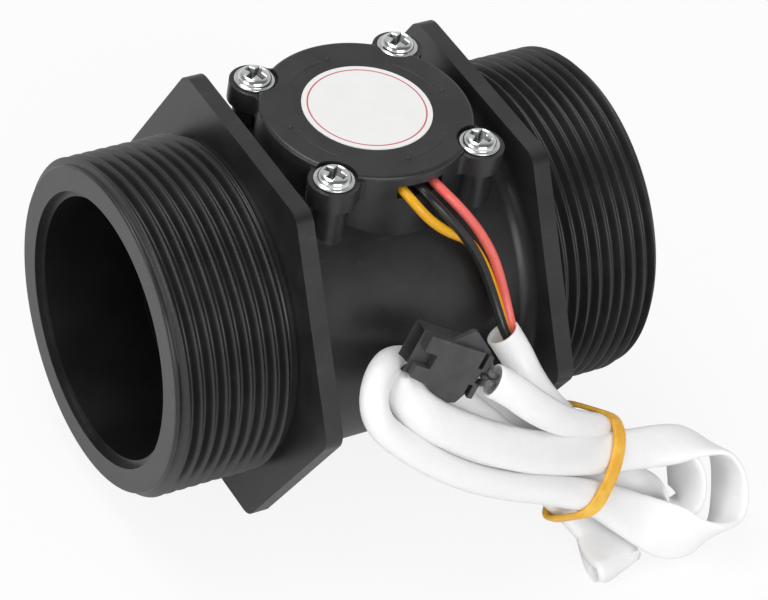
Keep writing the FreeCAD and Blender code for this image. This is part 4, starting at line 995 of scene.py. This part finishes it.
def make_screws():
    """The four cover screws' heads."""
    ways = [(1, 1, 27), (-1, 1, 24), (-1, -1, 30), (1, -1, 33)]
    places = [(SCREW_AT * x, SCREW_AT * y, EAR_TOP, turn) for x, y, turn in ways]
    tree = placed_tree("screws_set_out")
    mesh = set_out("cover_screws", tree, screw_head(), places, SCREW_ACROSS, SCREW_HIGH, screw_zinc)
    screws = piece_from("cover_screws", mesh, screw_zinc)
    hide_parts("cover_screw_1", "cover_screw_2", "cover_screw_3", "cover_screw_4")


def make_pips():
    """The four small raised dots on the cover's top, round the label."""
    dome = turned("pip", [(0.5, -0.4), (0.5, 0.0), (0.46, 0.45), (0.33, 0.82), (0.15, 0.98)], 1.0, 12)
    places = [(x, y, COVER_TOP, 0) for x, y in ((0, 14.15), (0, -14.15), (14.8, 0), (-14.8, 0))]
    mesh = set_out("cover_pips", placed_tree("pips_set_out"), dome, places, 0.9, 0.22, cover_black)
    piece_from("cover_pips", mesh, cover_black)


make_screws()
make_pips()

# ---------------------------------------------------------------- connector


HOUSING_AT = np.array((-3.1, -38.2, 46.2))  # its middle, and its own three directions
HOUSING_ALONG = unit(np.array((0.872, -0.287, -0.401)))  # towards its wires
HOUSING_ACROSS = np.array((-0.441, -0.091, -0.893))
HOUSING_BACK = unit(np.cross(HOUSING_ALONG, HOUSING_ACROSS))
HOUSING_ACROSS = np.cross(HOUSING_BACK, HOUSING_ALONG)

# Outlines along and across the housing.
FACE_PLATE = [
    (-5.6, -4.3), (5.1, -4.3), (5.1, -1.3), (5.9, -1.3), (5.9, -4.1), (6.9, -4.0), (6.9, -1.0), (6.1, -0.8),
    (5.9, 1.3), (6.9, 1.6), (6.9, 4.3), (5.9, 4.4), (5.9, 1.9), (5.05, 1.9), (5.05, 4.4), (-2.7, 4.3),
    (-5.6, 3.9), (-5.6, 1.5), (-3.0, 1.5), (-3.0, -1.2), (-5.6, -1.2),
]
SHELL = [(-6.5, -4.1), (5.6, -4.1), (5.6, 4.1), (-6.5, 4.1)]
UPPER_WING = [(-1.2, -3.9), (1.6, -7.0), (2.3, -7.1), (6.3, -4.5), (6.3, -3.9)]
LOWER_WING = [(-2.6, 3.9), (1.5, 7.0), (2.2, 7.2), (5.0, 6.2), (6.0, 3.9)]


def slab(work, outline, near, far):
    """A flat part of the housing between two depths, added to the work. Gives its side faces."""
    rings = []
    for z in (near, far):
        places = [HOUSING_AT + HOUSING_ALONG * x + HOUSING_ACROSS * y + HOUSING_BACK * z for x, y in outline]
        rings.append([work.verts.new(place * MM) for place in places])
    work.faces.new(rings[0])
    work.faces.new(rings[1][::-1])
    following = [ring[1:] + ring[:1] for ring in rings]
    return [work.faces.new(corners) for corners in zip(following[0], rings[0], rings[1], following[1])]


def make_connector():
    """The black three-way housing: a notched face plate, a deep open shell behind it and a grip wing on each side."""
    work = bmesh.new()
    slab(work, FACE_PLATE, -2.9, -0.95)
    sides = slab(work, SHELL, -1.0, 2.9)
    slab(work, UPPER_WING, -2.0, -0.7)
    slab(work, LOWER_WING, -2.0, -0.7)
    bmesh.ops.recalc_face_normals(work, faces=work.faces)
    mouth = sides[3]  # at the end away from the wires
    bmesh.ops.inset_region(work, faces=[mouth], thickness=0.75 * MM)
    bmesh.ops.translate(work, verts=mouth.verts, vec=Vector(HOUSING_ALONG) * 5.0 * MM)
    mesh = bpy.data.meshes.new("connector_shell")
    work.to_mesh(mesh)
    work.free()
    housing = piece_from("connector_shell", mesh, connector_black)
    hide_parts("connector_housing")
    soften_edges(housing, 0.13)
    return housing


connector = make_connector()

# ---------------------------------------------------------------- floor and light


def make_floor():
    """A pale floor that shows white and keeps the object's shadow."""
    corners = [(-4, -4, 0), (4, -4, 0), (4, 4, 0), (-4, 4, 0)]
    floor = bpy.data.objects.new("floor", mesh_from("floor", corners, [(0, 1, 2, 3)], smooth=False))
    scene.collection.objects.link(floor)
    material = bpy.data.materials.new("floor_white")
    material.use_nodes = True
    material.node_tree.nodes.clear()
    f = Nodes(material.node_tree)
    seen = f.node("ShaderNodeLightPath", out="Is Camera Ray")
    glossy = f.node("ShaderNodeLightPath", out="Is Glossy Ray")
    matt = f.node("ShaderNodeBsdfDiffuse", {}, {"Color": (0.86, 0.86, 0.86, 1)})
    white = f.node("ShaderNodeEmission", {}, {"Color": (1, 1, 1, 1), "Strength": 1.0})
    mixed = f.node("ShaderNodeMixShader", {}, {0: seen * 0.88 + glossy * 0.3, 1: matt, 2: white})
    f.node("ShaderNodeOutputMaterial", {}, {"Surface": mixed})
    floor.data.materials.append(material)
    floor.location.z = -0.05 * MM


def make_world():
    """A white surround that the camera and reflections see, and that lights the object softly."""
    world = bpy.data.worlds.new("surround")
    scene.world = world
    world.use_nodes = True
    world.node_tree.nodes.clear()
    w = Nodes(world.node_tree)
    camera_ray = w.node("ShaderNodeLightPath", out="Is Camera Ray")
    glossy = w.node("ShaderNodeLightPath", out="Is Glossy Ray")
    through = w.node("ShaderNodeLightPath", out="Is Transmission Ray")
    east, north, height = w.node("ShaderNodeTexCoord", out="Generated").parts()
    low = 1 - height.rise(0.10, 0.55)  # near the horizon
    beyond = (east * 0.45 + north * 0.61 + height * 0.65).rise(0.50, 0.85)  # where the tops of the screws mirror it
    seen = camera_ray.of("MAXIMUM", through)
    mirrored = 0.10 + low * 0.60 + beyond * (1 - low) * 0.45
    strength = seen + (1 - seen) * ((1 - glossy) * 0.42 + glossy * mirrored)
    back = w.node("ShaderNodeBackground", {}, {"Color": (1, 1, 1, 1), "Strength": strength})
    w.node("ShaderNodeOutputWorld", {}, {"Surface": back})


def add_lamp(name, place, size, power):
    """A soft lamp at a place in metres that points at the middle of the object."""
    lamp = bpy.data.lights.new(name, "AREA")
    lamp.shape, lamp.size, lamp.size_y = "RECTANGLE", size[0], size[1]
    lamp.energy = power
    holder = bpy.data.objects.new(name, lamp)
    scene.collection.objects.link(holder)
    holder.location = place
    holder.rotation_euler = (Vector((0, 0, 0.035)) - Vector(place)).to_track_quat("-Z", "Y").to_euler()


make_floor()
make_world()
add_lamp("key_lamp", (-0.25, 0.20, 0.90), (0.6, 0.4), 3.6)
add_lamp("left_lamp", (-0.90, -0.05, 0.40), (0.5, 0.5), 2.2)
add_lamp("front_lamp", (-0.10, -0.95, 0.55), (0.8, 0.5), 4.7)
